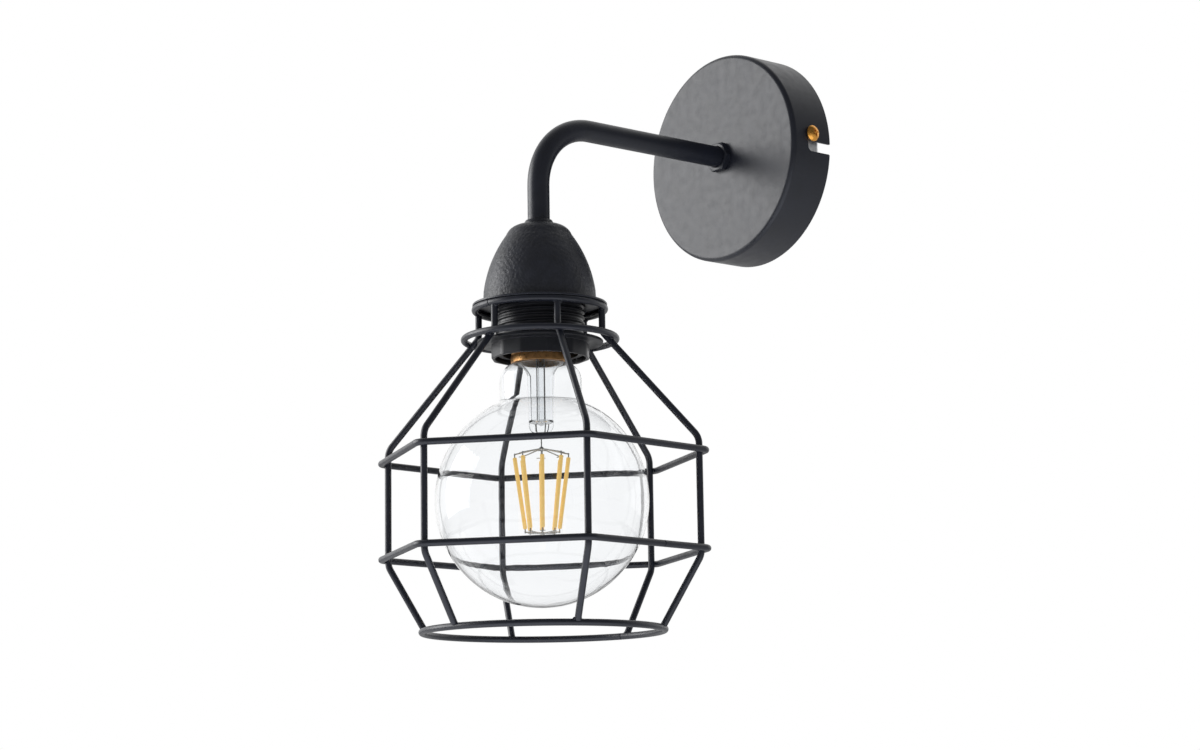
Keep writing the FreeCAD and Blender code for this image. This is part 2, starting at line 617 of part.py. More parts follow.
def centre_contact():
    """Spring strip from the live terminal through the carrier to the bulb's tip."""
    return bent_strip([(-TERMINAL_X, CARRIER_TOP_Z + STRIP_THICKNESS / 2),
                       (CENTRE_PASSAGE_X, CARRIER_TOP_Z + STRIP_THICKNESS / 2),
                       (CENTRE_PASSAGE_X, CARRIER_BOTTOM_Z - 1.0), (2.0, TIP_Z + 0.6), (4.0, TIP_Z + 1.4)])


def shell_strap():
    """Strip from the neutral terminal through the carrier to the screw shell."""
    return bent_strip([(TERMINAL_X, CARRIER_TOP_Z + STRIP_THICKNESS / 2),
                       (SHELL_PASSAGE_X, CARRIER_TOP_Z + STRIP_THICKNESS / 2),
                       (SHELL_PASSAGE_X, CARRIER_BOTTOM_Z + STRIP_THICKNESS / 2)])


def holder_terminals():
    """Brass terminal blocks on the carrier, one for each wire."""
    width = 5.0
    depth = 6.0
    height = 5.4
    blocks = []
    for side in (-1, 1):
        x = side * TERMINAL_X
        block = Part.makeBox(width, depth, height,
                             Vector(x - width / 2, LAMP_Y - depth / 2, CARRIER_TOP_Z + STRIP_THICKNESS))
        block = block.cut(cylinder(INSULATED_WIRE_RADIUS, (x, LAMP_Y, CARRIER_TOP_Z + 3.0),
                                   (x, LAMP_Y, CARRIER_TOP_Z + 3.0 + height)))
        blocks.append(block.cut(cylinder(CLAMP_SCREW_RADIUS, (x, LAMP_Y - depth, HOLDER_SCREW_Z),
                                         (x, LAMP_Y, HOLDER_SCREW_Z))))
    return Part.makeCompound(blocks)


def holder_terminal_screws():
    """Clamping screws of the lampholder's terminals."""
    screws = []
    for side in (-1, 1):
        x = side * TERMINAL_X
        z = HOLDER_SCREW_Z
        foot = (x, LAMP_Y - 1.2, z)
        neck = (x, LAMP_Y - 3.4, z)
        top = (x, LAMP_Y - 5.0, z)
        screw = cylinder(CLAMP_SCREW_RADIUS, foot, neck).fuse(cylinder(2.2, neck, top))
        screws.append(screw.cut(driver_slit(x, top[1], z)))
    return Part.makeCompound(screws)


def shade_ring():
    """Threaded ring: a flange that bears up on the rods and a twelve-sided grip."""
    flange_bottom = SHADE_FLANGE_TOP_Z - SHADE_FLANGE_THICKNESS
    flange = disc(SHADE_FLANGE_RADIUS, flange_bottom, SHADE_FLANGE_TOP_Z)
    grip = disc(SHADE_GRIP_RADIUS, SHADE_RING_BOTTOM_Z, flange_bottom)
    corner = SHADE_GRIP_APOTHEM / math.cos(math.pi / SHADE_GRIP_SIDES)
    corners = [lamp_point(corner, 360 / SHADE_GRIP_SIDES * k, SHADE_RING_BOTTOM_Z)
               for k in range(SHADE_GRIP_SIDES)]
    base = Part.Face(Part.makePolygon(corners + corners[:1]))
    prism = base.extrude(UP * (flange_bottom - SHADE_RING_BOTTOM_Z))
    ring = flange.fuse(grip.common(prism))
    bore = disc(HOLDER_THREAD_RADIUS + RUNNING_GAP, SHADE_RING_BOTTOM_Z - 1, SHADE_FLANGE_TOP_Z + 1)
    return ring.cut(bore).removeSplitter()


# ---- the cage ----------------------------------------------------------------------------------------
def second_ring_height():
    """Height at which the second ring lies on the slanting rods."""
    along = (SECOND_RING_RADIUS - NECK_RADIUS - ROD_PITCH * math.cos(SLANT)) / math.sin(SLANT)
    return NECK_BEND_Z - along * math.cos(SLANT) + ROD_PITCH * math.sin(SLANT)


def cage_rod(k, rings):
    """Upright rod: down, out, down again and in to the mouth, fitted to the rings it is welded to."""
    lean = math.atan2(CAGE_RADIUS - MOUTH_RADIUS, HIP_Z - MOUTH_Z)
    end_above_mouth = 1.2
    stops = [(NECK_RADIUS, NECK_TOP_Z), (NECK_RADIUS, NECK_BEND_Z), (CAGE_RADIUS, SHOULDER_Z),
             (CAGE_RADIUS, HIP_Z),
             (MOUTH_RADIUS + end_above_mouth * math.sin(lean), MOUTH_Z + end_above_mouth * math.cos(lean))]
    route = [lamp_point(r, rod_angle(k), z) for r, z in stops]
    rod = swept_rod(rounded_path(route, [5.0, 8.0, 8.0]), ROD_RADIUS)
    return rod.cut(rings)


def top_plate():
    """Sheet ring on the top ring: it centres the cage on the holder, under the dome."""
    return tube(PLATE_RADIUS, HOLDER_THREAD_RADIUS + RUNNING_GAP, PLATE_TOP_Z - PLATE_THICKNESS, PLATE_TOP_Z)


# ---- the bulb ----------------------------------------------------------------------------------------
def glass_form(inset):
    """The bulb's glass as a solid, drawn in by a wall."""
    radius = BULB_RADIUS - inset
    neck = BULB_NECK_RADIUS - inset
    throat = 11.9 - inset
    meet_r = neck + 1.9
    meet_z = BULB_CENTRE_Z + math.sqrt(radius ** 2 - meet_r ** 2)
    side_r = radius * math.cos(math.radians(10))
    side_z = BULB_CENTRE_Z + radius * math.sin(math.radians(10))
    return turned_on_lamp([
        (0, -108.0), (throat, -108.0), (throat, -111.5),
        ("arc", (neck - 1.6, -114.3), (neck, BULB_NECK_TOP_Z)),
        (neck, meet_z + 2.2),
        ("arc", (neck + 0.5, meet_z + 0.7), (meet_r, meet_z)),
        ("arc", (side_r, side_z), (0, BULB_CENTRE_Z - radius))])


def bulb_glass():
    """Clear globe and neck."""
    return glass_form(0).cut(glass_form(GLASS_WALL))


def bulb_cap():
    """Brass screw cap with a rolled thread and a plain skirt."""
    crest = CAP_CREST_RADIUS
    root = CAP_ROOT_RADIUS
    wall = 0.3
    middle = (crest + root) / 2
    half_pitch = CAP_THREAD_PITCH / 2
    halves = 10
    thread_top = CAP_TOP_Z - 1.0
    outside = [(middle, thread_top)]
    for k in range(halves):
        bulge = crest if k % 2 == 0 else root
        z = thread_top - half_pitch * k
        outside.append(("arc", (bulge, z - half_pitch / 2), (middle, z - half_pitch)))
    thread_bottom = thread_top - half_pitch * halves
    inside = [(root - wall, CAP_BOTTOM_Z), (root - wall, CAP_TOP_Z - wall), (10.0, CAP_TOP_Z - wall),
              (10.0, CAP_TOP_Z), (root, CAP_TOP_Z)]
    skirt = [(crest + 0.1, thread_bottom - 0.4), (crest + 0.1, CAP_BOTTOM_Z)]
    return turned_on_lamp(outside + skirt + inside)


def cap_insulator():
    """Black glass cone between the cap and the tip."""
    return turned_on_lamp([(0, CAP_TOP_Z - 1.5), (10.0 - 0.1, CAP_TOP_Z - 1.5), (10.0 - 0.1, CAP_TOP_Z),
                           (9.6, CAP_TOP_Z + 0.6), (5.0, TIP_Z - TIP_THICKNESS), (0, TIP_Z - TIP_THICKNESS)])


def tip_contact():
    """Round contact at the tip of the cap."""
    rim = 4.6
    height = 0.6
    half_way = rim / 2
    return turned_on_lamp([(0, TIP_Z - TIP_THICKNESS), (rim, TIP_Z - TIP_THICKNESS), (rim, TIP_Z - height),
                           ("arc", (half_way, TIP_Z - crown(rim, height, half_way)), (0, TIP_Z))])


def bulb_stem():
    """Glass stem: a flare sealed in the neck, and a tube closed by a flat press."""
    wall = 0.7
    outer = turned_on_lamp([(0, -111.6), (11.0, -111.6), ("arc", (7.6, -113.6), (6.0, -117.5)),
                            (5.5, STEM_PRESS_Z), ("arc", (5.0, -141.2), (3.6, STEM_BOTTOM_Z)),
                            (0, STEM_BOTTOM_Z)])
    inner = turned_on_lamp([(0, -111.0), (10.2, -111.0), ("arc", (6.9, -113.6), (6.0 - wall, -117.5)),
                            (5.5 - wall, STEM_PRESS_Z), (0, STEM_PRESS_Z)])
    exhaust = tube(1.5, 1.0, STEM_PRESS_Z, -98.0)
    return outer.cut(inner).fuse(exhaust)


def lead_wires():
    """The two wires that bring the current from the cap down the stem to its press."""
    return Part.makeCompound([
        cylinder(LEAD_WIRE_RADIUS, (x, LAMP_Y, STEM_PRESS_Z), (x, LAMP_Y, -94.0))
        for x in (-LEAD_WIRE_X, LEAD_WIRE_X)])


def filament_point(end, k):
    """Upper or lower end of filament k."""
    return lamp_point(end[0], FILAMENT_TURN + 360 / FILAMENT_COUNT * k, end[1])


def bulb_filaments():
    """Filament rods that lean in towards the bottom."""
    rods = []
    for k in range(FILAMENT_COUNT):
        upper = filament_point(FILAMENT_TOP, k)
        rods.append(cylinder(FILAMENT_RADIUS, upper, filament_point(FILAMENT_FOOT, k)))
    return Part.makeCompound(rods)


def bulb_supports():
    """Wires that hold the filaments: a star above, a star below and a straight wire between."""
    star_top = -149.5
    star_foot = FILAMENT_FOOT[1] - 2.0
    hub = 0.8
    overrun = 0.3                   # how far a star's arm passes the post that it carries
    wires = [cylinder(SUPPORT_RADIUS, (0, LAMP_Y, STEM_BOTTOM_Z), (0, LAMP_Y, star_foot - hub)),
             Part.makeSphere(hub, Vector(0, LAMP_Y, star_top)),
             Part.makeSphere(hub, Vector(0, LAMP_Y, star_foot))]
    for k in range(FILAMENT_COUNT):
        upper = filament_point(FILAMENT_TOP, k)
        lower = filament_point(FILAMENT_FOOT, k)
        knee = filament_point((FILAMENT_TOP[0] + overrun, FILAMENT_TOP[1] + 1.4), k)
        heel = filament_point((FILAMENT_FOOT[0] + overrun, FILAMENT_FOOT[1] - 1.4), k)
        wires.append(cylinder(SUPPORT_RADIUS, (0, LAMP_Y, star_top), knee))
        wires.append(cylinder(SUPPORT_RADIUS, upper + UP * 1.9, upper))
        wires.append(cylinder(SUPPORT_RADIUS, (0, LAMP_Y, star_foot), heel))
        wires.append(cylinder(SUPPORT_RADIUS, lower - UP * 1.9, lower))
    return wires[0].fuse(wires[1:])


# ---- put together ------------------------------------------------------------------------------------
def main():
    os.makedirs("parts", exist_ok=True)
    save(wall_bracket(), "wall_bracket")
    save(side_screw(1), "side_screw_right")
    save(side_screw(-1), "side_screw_left")

    save(rose_cup(), "rose_cup")
    save(arm_tube(), "arm_tube")
    save(hexagon_nut(13.0, ROSE_FRONT_Y, 3.2), "front_nut")
    save(lock_washer(), "lock_washer")
    save(earth_tag(), "earth_tag")
    save(hexagon_nut(14.0, REAR_NUT_Y + REAR_NUT_THICKNESS, REAR_NUT_THICKNESS), "rear_nut")
    save(terminal_pad(), "terminal_pad")
    save(terminal_block(), "terminal_block")
    save(terminal_sleeves(), "terminal_sleeves")
    save(terminal_screws(), "terminal_screws")
    save(supply_wire(-1), "live_wire")
    save(supply_wire(1), "neutral_wire")
    save(conductor([(0, TAG_BARREL_Y, -12.0), (0, TAG_BARREL_Y, -15.5), (0, BLOCK_ENTRY_Y, -18.5),
                    (0, BLOCK_ENTRY_Y, BLOCK_TOP_Z - 2)]), "earth_wire")

    save(top_collar(), "top_collar")
    save(dome_cap(), "dome_cap")
    save(holder_body(), "holder_body")
    save(contact_carrier(), "contact_carrier")
    save(screw_shell(), "screw_shell")
    save(centre_contact(), "centre_contact")
    save(shell_strap(), "shell_strap")
    save(holder_terminals(), "holder_terminals")
    save(holder_terminal_screws(), "holder_terminal_screws")
    save(shade_ring(), "shade_ring")

    rings = {"cage_top_ring": round_ring(TOP_RING_RADIUS, TOP_RING_Z, 272),
             "cage_second_ring": round_ring(SECOND_RING_RADIUS, second_ring_height(), 75),
             "cage_upper_hex_ring": hex_ring(UPPER_HEX_Z, 3, 0.34),
             "cage_lower_hex_ring": hex_ring(LOWER_HEX_Z, 5, 0.6),
             "cage_mouth_ring": round_ring(MOUTH_RADIUS, MOUTH_Z, 99)}
    save(top_plate(), "cage_top_plate")
    for node, ring in rings.items():
        save(ring, node)
    for k in range(ROD_COUNT):
        save(cage_rod(k, list(rings.values())), "cage_rod_" + str(k + 1))

    save(bulb_glass(), "bulb_glass")
    save(bulb_cap(), "bulb_cap")
    save(cap_insulator(), "bulb_cap_insulator")
    save(tip_contact(), "bulb_tip_contact")
    save(bulb_stem(), "bulb_stem")
    save(lead_wires(), "bulb_lead_wires")
    save(bulb_filaments(), "bulb_filaments")
    save(bulb_supports(), "bulb_supports")


main()
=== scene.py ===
import json
import math
import random

import bmesh
import bpy
from bpy.props import FloatProperty, FloatVectorProperty, IntProperty, PointerProperty
from bpy.types import Operator, Panel, PropertyGroup
from mathutils import Matrix, Vector


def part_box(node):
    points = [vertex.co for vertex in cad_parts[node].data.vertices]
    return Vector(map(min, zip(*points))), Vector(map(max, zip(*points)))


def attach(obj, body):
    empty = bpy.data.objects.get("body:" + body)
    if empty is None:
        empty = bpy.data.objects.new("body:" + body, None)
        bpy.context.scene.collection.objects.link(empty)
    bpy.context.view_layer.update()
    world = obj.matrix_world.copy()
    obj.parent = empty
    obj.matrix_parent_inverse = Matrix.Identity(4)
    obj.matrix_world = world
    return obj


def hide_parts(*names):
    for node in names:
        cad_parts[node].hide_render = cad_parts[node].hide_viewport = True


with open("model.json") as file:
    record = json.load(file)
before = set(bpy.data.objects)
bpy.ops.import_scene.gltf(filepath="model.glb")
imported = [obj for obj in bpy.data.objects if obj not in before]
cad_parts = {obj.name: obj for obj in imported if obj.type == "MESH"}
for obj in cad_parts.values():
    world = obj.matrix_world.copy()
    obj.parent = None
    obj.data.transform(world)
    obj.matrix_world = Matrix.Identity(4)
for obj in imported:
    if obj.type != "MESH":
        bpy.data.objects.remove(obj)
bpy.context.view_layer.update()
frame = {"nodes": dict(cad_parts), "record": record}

bl_info = {
    "name": "Cage wall light",
    "version": (1, 0, 0),
    "blender": (4, 5, 0),
    "location": "View3D > Sidebar > Cage Light",
    "description": "Wall light with a rose, a bent tube, a cast dome, a wire cage and a clear "
                   "filament bulb",
    "category": "Object",
}

MM = 0.001
UP = Vector((0, 0, 1))
OUT = Vector((0, -1, 0))
RIGHT = Vector((1, 0, 0))
HOLDER_LOW, HOLDER_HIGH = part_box("holder_body")
LAMP_AXIS = Vector((0, (HOLDER_LOW.y + HOLDER_HIGH.y) / 2, 0))   # the line on which the lamp hangs
SHARP_ANGLE = math.radians(38)
ROUND = 128                     # sides of the large turned pieces
ROD_SIDES = 24
SAME_POINT = 1e-7               # points that are nearer than this are one
SAME_HEIGHT = 1e-6


# ---- sizes and colours -------------------------------------------------------------------------------
def length(name, value, description):
    """A size given in millimetres."""
    return FloatProperty(name=name, description=description, default=value * MM, unit="LENGTH",
                         precision=5)


def turn(name, value, description):
    """An angle given in degrees."""
    return FloatProperty(name=name, description=description, default=math.radians(value),
                         subtype="ANGLE")


def paint(name, value, description):
    """A colour."""
    return FloatVectorProperty(name=name, description=description, default=value, subtype="COLOR",
                               size=3, min=0.0, max=1.0)


class RoseSizes(PropertyGroup):
    """The rose, the strap behind it and its side screws."""
    radius: length("Radius", 50.0, "Outside radius of the rose")
    depth: length("Depth", 24.0, "How far the rose stands off the wall")
    wall: length("Wall", 1.0, "Sheet thickness of the rose")
    edge: length("Edge", 2.2, "Radius of the spun front edge")
    screw_depth: length("Screw depth", 12.0, "Wall to the side screws")
    screw_height: length("Screw height", 3.5, "Height of the right-hand screw above the middle")
    slot_half: length("Slot half width", 2.4, "Half width of the bayonet slots")
    slot_entry: length("Slot entry", -2.5, "Height at which the right-hand slot opens to the back")
    strap_outer: length("Ear", 47.7, "Middle to the outside of an ear of the strap")
    strap_width: length("Strap width", 18.0, "Width of the strap")
    strap_thickness: length("Strap thickness", 1.5, "Thickness of the strap")


class ArmSizes(PropertyGroup):
    """The bent tube and what holds its ends."""
    radius: length("Radius", 5.0, "Outside radius of the tube")
    bore: length("Bore", 4.0, "Inside radius of the tube")
    bend: length("Bend", 30.0, "Radius of the bend, on the centreline")
    wall_end: length("Wall end", 14.0, "Distance from the wall to the end inside the rose")
    lamp_end: length("Lamp end", 57.0, "Depth of the end inside the dome")
    nut_flats: length("Nut", 13.0, "Front nut across its flats")
    nut_thickness: length("Nut thickness", 3.2, "Thickness of the front nut")


class HolderSizes(PropertyGroup):
    """The dome, the lampholder and the shade ring."""
    dome_top: length("Dome top", -48.4, "Height of the top of the dome")
    dome_base: length("Dome base", -84.4, "Height of the base of the dome")
    dome_radius: length("Dome radius", 25.4, "Radius of the base of the dome")
    dome_wall: length("Dome wall", 2.3, "Wall of the casting")
    thread: length("Thread", 20.0, "Radius of the outside thread")
    thread_depth: length("Thread depth", 0.9, "Depth of the outside thread")
    thread_pitch: length("Thread pitch", 2.5, "Pitch of the outside thread")
    bore: length("Bore", 16.8, "Bore of the holder body")
    top: length("Top", -75.0, "Height of the top of the holder body")
    mouth: length("Mouth", -107.5, "Height of the mouth of the holder body")
    flange: length("Flange", 28.2, "Radius of the shade ring's flange")
    flange_top: length("Flange top", -101.2, "Height of the top of the flange")
    flange_thickness: length("Flange thickness", 1.4, "Thickness of the flange")
    grip: length("Grip", 22.0, "Radius of the shade ring's grip over its corners")
    grip_flat: length("Grip flat", 21.45, "Middle to a flat of the grip")
    grip_end: length("Grip end", -109.3, "Height of the mouth of the shade ring")
    grip_sides: IntProperty(name="Grip sides", description="Flats on the grip", default=12)


class CageSizes(PropertyGroup):
    """The wire cage. Radii are to the middle of a rod."""
    rod: length("Rod", 1.5, "Radius of every rod")
    overlap: length("Weld", 0.15, "How far two welded rods sink into each other")
    turned: turn("Turn", 36.3, "Angle of the first upright rod")
    neck: length("Neck", 28.5, "Radius at which the rods start")
    neck_top: length("Neck top", -88.1, "Height at which the rods start")
    neck_bend: length("Neck bend", -98.5, "Height of the first bend")
    radius: length("Radius", 71.3, "Radius of the upright stretch")
    shoulder: length("Shoulder", -147.7, "Height of the shoulder bend")
    hip: length("Hip", -199.5, "Height of the hip bend")
    mouth_radius: length("Mouth radius", 53.4, "Radius of the mouth ring")
    mouth: length("Mouth", -230.5, "Height of the mouth ring")
    top_ring: length("Top ring", 29.1, "Radius of the top ring")
    top_ring_height: length("Top ring height", -86.9, "Height of the top ring")
    second_ring: length("Second ring", 34.0, "Radius of the second ring")
    upper_hex: length("Upper hexagon", -153.4, "Height of the upper six-sided ring")
    lower_hex: length("Lower hexagon", -196.6, "Height of the lower six-sided ring")
    hex_corner: length("Hexagon corner", 6.0, "Bend radius at the corners of the six-sided rings")
    plate: length("Plate", 30.2, "Radius of the top plate")
    plate_bore: length("Plate bore", 20.3, "Bore of the top plate")
    seam: length("Seam", 0.2, "Gap where the ends of one bent rod meet")


class BulbSizes(PropertyGroup):
    """The clear globe bulb."""
    globe: length("Globe", 47.5, "Radius of the globe")
    centre: length("Centre", -172.7, "Height of the middle of the globe")
    neck: length("Neck", 18.3, "Radius of the neck")
    neck_top: length("Neck top", -118.5, "Height of the top of the neck")
    throat: length("Throat", 11.9, "Radius of the glass where it enters the cap")
    glass: length("Glass", 0.8, "Wall of the glass")
    crest: length("Thread crest", 13.1, "Radius of the cap's thread at its crest")
    root: length("Thread root", 12.2, "Radius of the cap's thread at its root")
    pitch: length("Pitch", 3.629, "Pitch of the cap's thread")
    cap_bottom: length("Cap bottom", -111.3, "Height of the lower rim of the cap")
    cap_top: length("Cap top", -90.0, "Height of the shoulder of the cap")
    tip: length("Tip", -85.0, "Height of the tip contact")
    filament: length("Filament", 0.92, "Radius of a filament")
    filament_top: length("Filament top", 12.0, "Middle to the upper end of a filament")
    filament_top_height: length("Upper end", -153.6, "Height of the upper ends")
    filament_foot: length("Filament foot", 7.6, "Middle to the lower end of a filament")
    filament_foot_height: length("Lower end", -185.4, "Height of the lower ends")
    filament_turn: turn("Filament turn", 7.0, "Angle of the first filament about the axis")
    filaments: IntProperty(name="Filaments", description="Number of filaments", default=8)


class Colours(PropertyGroup):
    """Colours of the finishes."""
    coat: paint("Coat", (0.011, 0.013, 0.020), "Satin black coat of the rose, the tube and the rods")
    casting: paint("Casting", (0.014, 0.016, 0.023), "Textured black coat of the dome")
    moulding: paint("Moulding", (0.012, 0.013, 0.016), "Black moulded lampholder")
    zinc: paint("Zinc", (0.78, 0.79, 0.80), "Zinc plate")
    brass: paint("Brass", (0.95, 0.45, 0.09), "Brass of the side screws")
    fitting: paint("Fitting", (0.80, 0.60, 0.28), "Brass of the contacts and terminals")
    cap: paint("Cap", (0.72, 0.40, 0.16), "Brass of the bulb's cap")
    # this colour also feeds the filaments' painted glow, a weak emission
    filament: paint("Filament", (1.0, 0.67, 0.22), "Phosphor coat of the filaments")
    wire: paint("Wire", (0.62, 0.62, 0.60), "Support wires")


class StageSettings(PropertyGroup):
    """Camera, floor and light."""
    azimuth: turn("Azimuth", 49.5, "Direction from which the camera looks")
    elevation: turn("Elevation", -9.4, "Height of the camera above the horizon")
    roll: turn("Roll", -0.88, "Turn of the camera about its line of sight")
    distance: FloatProperty(name="Distance", description="Camera to the point looked at",
                            default=1.21, unit="LENGTH")
    lens: FloatProperty(name="Lens", description="Focal length on a sensor 36 mm wide", default=81.75)
    floor: FloatProperty(name="Floor", description="Height of the floor", default=-0.62, unit="LENGTH")
    ambient: FloatProperty(name="Ambient", description="Strength of the light from all round",
                           default=0.5)
    room: FloatProperty(name="Room", description="Brightness of what gloss shows behind the camera",
                        default=0.12)
    key: FloatProperty(name="Key", description="Brightness of the large lamp on the left", default=4.6)
    low: FloatProperty(name="Low", description="Brightness of the cool lamp below", default=0.9)


class CageLightSettings(PropertyGroup):
    """Everything that the panel offers."""
    rose: PointerProperty(type=RoseSizes)
    arm: PointerProperty(type=ArmSizes)
    holder: PointerProperty(type=HolderSizes)
    cage: PointerProperty(type=CageSizes)
    bulb: PointerProperty(type=BulbSizes)
    colours: PointerProperty(type=Colours)
    stage: PointerProperty(type=StageSettings)


# ---- outlines ----------------------------------------------------------------------------------------
def arc(start, middle, end, steps):
    """Points of the arc through three points of a plane, without the first."""
    ax, ay = start
    bx, by = middle
    cx, cy = end
    d = 2 * (ax * (by - cy) + bx * (cy - ay) + cx * (ay - by))
    a2, b2, c2 = ax * ax + ay * ay, bx * bx + by * by, cx * cx + cy * cy
    ux = (a2 * (by - cy) + b2 * (cy - ay) + c2 * (ay - by)) / d
    uy = (a2 * (cx - bx) + b2 * (ax - cx) + c2 * (bx - ax)) / d
    radius = math.hypot(ax - ux, ay - uy)
    first = math.atan2(ay - uy, ax - ux)
    sweep_mid = (math.atan2(by - uy, bx - ux) - first) % (2 * math.pi)
    sweep_end = (math.atan2(cy - uy, cx - ux) - first) % (2 * math.pi)
    if sweep_mid > sweep_end:
        sweep_end -= 2 * math.pi
    return [(ux + radius * math.cos(first + sweep_end * k / steps),
             uy + radius * math.sin(first + sweep_end * k / steps)) for k in range(1, steps + 1)]


def rounded(points, steps=4):
    """Outline through points; one given as (u, v, radius) has its corner rounded."""
    result = []
    count = len(points)
    for k, point in enumerate(points):
        if len(point) < 3 or point[2] <= 0:
            result.append(tuple(point[:2]))
            continue
        corner = Vector(point[:2])
        back = (Vector(points[k - 1][:2]) - corner).normalized()
        ahead = (Vector(points[(k + 1) % count][:2]) - corner).normalized()
        half = back.angle(ahead) / 2
        reach = point[2] / math.tan(half)
        inward = (back + ahead).normalized()
        middle = corner + inward * (point[2] / math.sin(half) - point[2])
        start = corner + back * reach
        result.append(tuple(start))
        result += arc(tuple(start), tuple(middle), tuple(corner + ahead * reach), steps)
    return result


def scaled(points):
    """The same points, given in millimetres."""
    return [tuple(value * MM for value in point) for point in points]


def lamp_point(radius, angle, z):
    """Point at a radius and an angle about the lamp's axis."""
    return LAMP_AXIS + Vector((radius * math.cos(angle), radius * math.sin(angle), z))


# ---- mesh shapes -------------------------------------------------------------------------------------
def wire_through(bm, points, closed):
    """Edges from point to point."""
    verts = [bm.verts.new(p) for p in points]
    edges = [bm.edges.new(pair) for pair in zip(verts, verts[1:])]
    if closed:
        edges.append(bm.edges.new((verts[-1], verts[0])))
    return verts, edges


def spun(bm, geom, centre, axis, angle, steps, rise=0.0, merge=False):
    """Spin edges about an axis, each step a little higher if asked, and return the last ones."""
    return bmesh.ops.spin(bm, geom=geom, cent=centre, axis=axis, dvec=(0, 0, rise), angle=angle,
                          steps=steps, use_merge=merge, use_normal_flip=False,
                          use_duplicate=False)["geom_last"]


def softened(bm, edges, offset, segments=2):
    """Round edges off."""
    bmesh.ops.bevel(bm, geom=edges, offset=offset, offset_type="OFFSET", affect="EDGES",
                    segments=segments, profile=0.5, material=-1)


def outward(bm):
    """Turn the faces of closed shapes outward."""
    bmesh.ops.recalc_face_normals(bm, faces=bm.faces[:])


def turned(bm, profile, closed=True, base=None, axis=UP, radial=RIGHT, sides=ROUND):
    """Turn a profile of (radius, height) points about an axis."""
    base = LAMP_AXIS if base is None else base
    points = [base + radial * r + axis * h for r, h in profile]
    verts, edges = wire_through(bm, points, closed)
    before = set(bm.verts) - set(verts)
    spun(bm, verts + edges, base, axis, 2 * math.pi, sides, merge=True)
    bmesh.ops.remove_doubles(bm, verts=[v for v in bm.verts if v not in before], dist=SAME_POINT)


def circle(bm, centre, along, radius, sides):
    """Ring of edges square to a direction."""
    place = Matrix.Translation(centre) @ UP.rotation_difference(along).to_matrix().to_4x4()
    verts = bmesh.ops.create_circle(bm, cap_ends=False, radius=radius, segments=sides,
                                    matrix=place)["verts"]
    return list({edge for vert in verts for edge in vert.link_edges})


def pushed(bm, edges, step):
    """Extrude a loop of edges by a straight step and return the new loop."""
    made = bmesh.ops.extrude_edge_only(bm, edges=edges)["geom"]
    verts = {g for g in made if isinstance(g, bmesh.types.BMVert)}
    bmesh.ops.translate(bm, verts=list(verts), vec=step)
    return [g for g in made if isinstance(g, bmesh.types.BMEdge) and set(g.verts) <= verts]


def bent(bm, edges, centre, axis, angle, steps):
    """Spin a loop of edges round a bend and return the last loop."""
    verts = list({vert for edge in edges for vert in edge.verts})
    last = spun(bm, verts + edges, centre, axis, angle, steps)
    return [g for g in last if isinstance(g, bmesh.types.BMEdge)]


def drawn(bm, section, points, radii, end_round=0.0, bend_steps=10, capped=True):
    """Draw a closed section along straight runs and tangent bends."""
    corners = [Vector(p) for p in points]
    edges = section
    here = corners[0]
    for before, corner, after, radius in zip(corners, corners[1:], corners[2:], radii):
        incoming = (corner - before).normalized()
        outgoing = (after - corner).normalized()
        angle = incoming.angle(outgoing)
        reach = radius * math.tan(angle / 2)
        start = corner - incoming * reach
        if (start - here).length > SAME_HEIGHT:
            edges = pushed(bm, edges, start - here)
        axis = incoming.cross(outgoing).normalized()
        centre = start + axis.cross(incoming) * radius
        edges = bent(bm, edges, centre, axis, angle, bend_steps)
        here = corner + outgoing * reach
    edges = pushed(bm, edges, corners[-1] - here)
    if capped:
        for loop in (section, edges):
            bmesh.ops.contextual_create(bm, geom=loop)
        if end_round > 0:
            softened(bm, section + edges, end_round)
    return edges


def rod(bm, points, radii, radius, sides=ROD_SIDES, end_round=0.0, bend_steps=10):
    """Round rod along runs and bends."""
    along = Vector(points[1]) - Vector(points[0])
    section = circle(bm, Vector(points[0]), along.normalized(), radius, sides)
    drawn(bm, section, points, radii, end_round, bend_steps)


def pin(start, end, radius, sides=32):
    """Straight round rod in a mesh of its own, to cut a hole with."""
    bm = bmesh.new()
    rod(bm, [start, end], [], radius, sides)
    outward(bm)
    return bm


def prism(bm, outline, place, step):
    """Solid with a given outline: place turns a (u, v) point into a point in space."""
    edges = wire_through(bm, [place(u, v) for u, v in outline], True)[1]
    face = bmesh.ops.contextual_create(bm, geom=edges)["faces"][0]
    made = bmesh.ops.extrude_face_region(bm, geom=[face])["geom"]
    moved = [g for g in made if isinstance(g, bmesh.types.BMVert)]
    bmesh.ops.translate(bm, verts=moved, vec=step)
    outward(bm)


def box(bm, low, high, edge=0.0):
    """Block between two corners, its edges rounded."""
    low, high = Vector(low), Vector(high)
    size = high - low
    place = Matrix.Translation((low + high) / 2) @ Matrix.Diagonal(size.to_4d())
    place[3][3] = 1.0
    verts = bmesh.ops.create_cube(bm, size=1.0, matrix=place)["verts"]
    if edge > 0:
        softened(bm, list({e for v in verts for e in v.link_edges}), edge, 3)


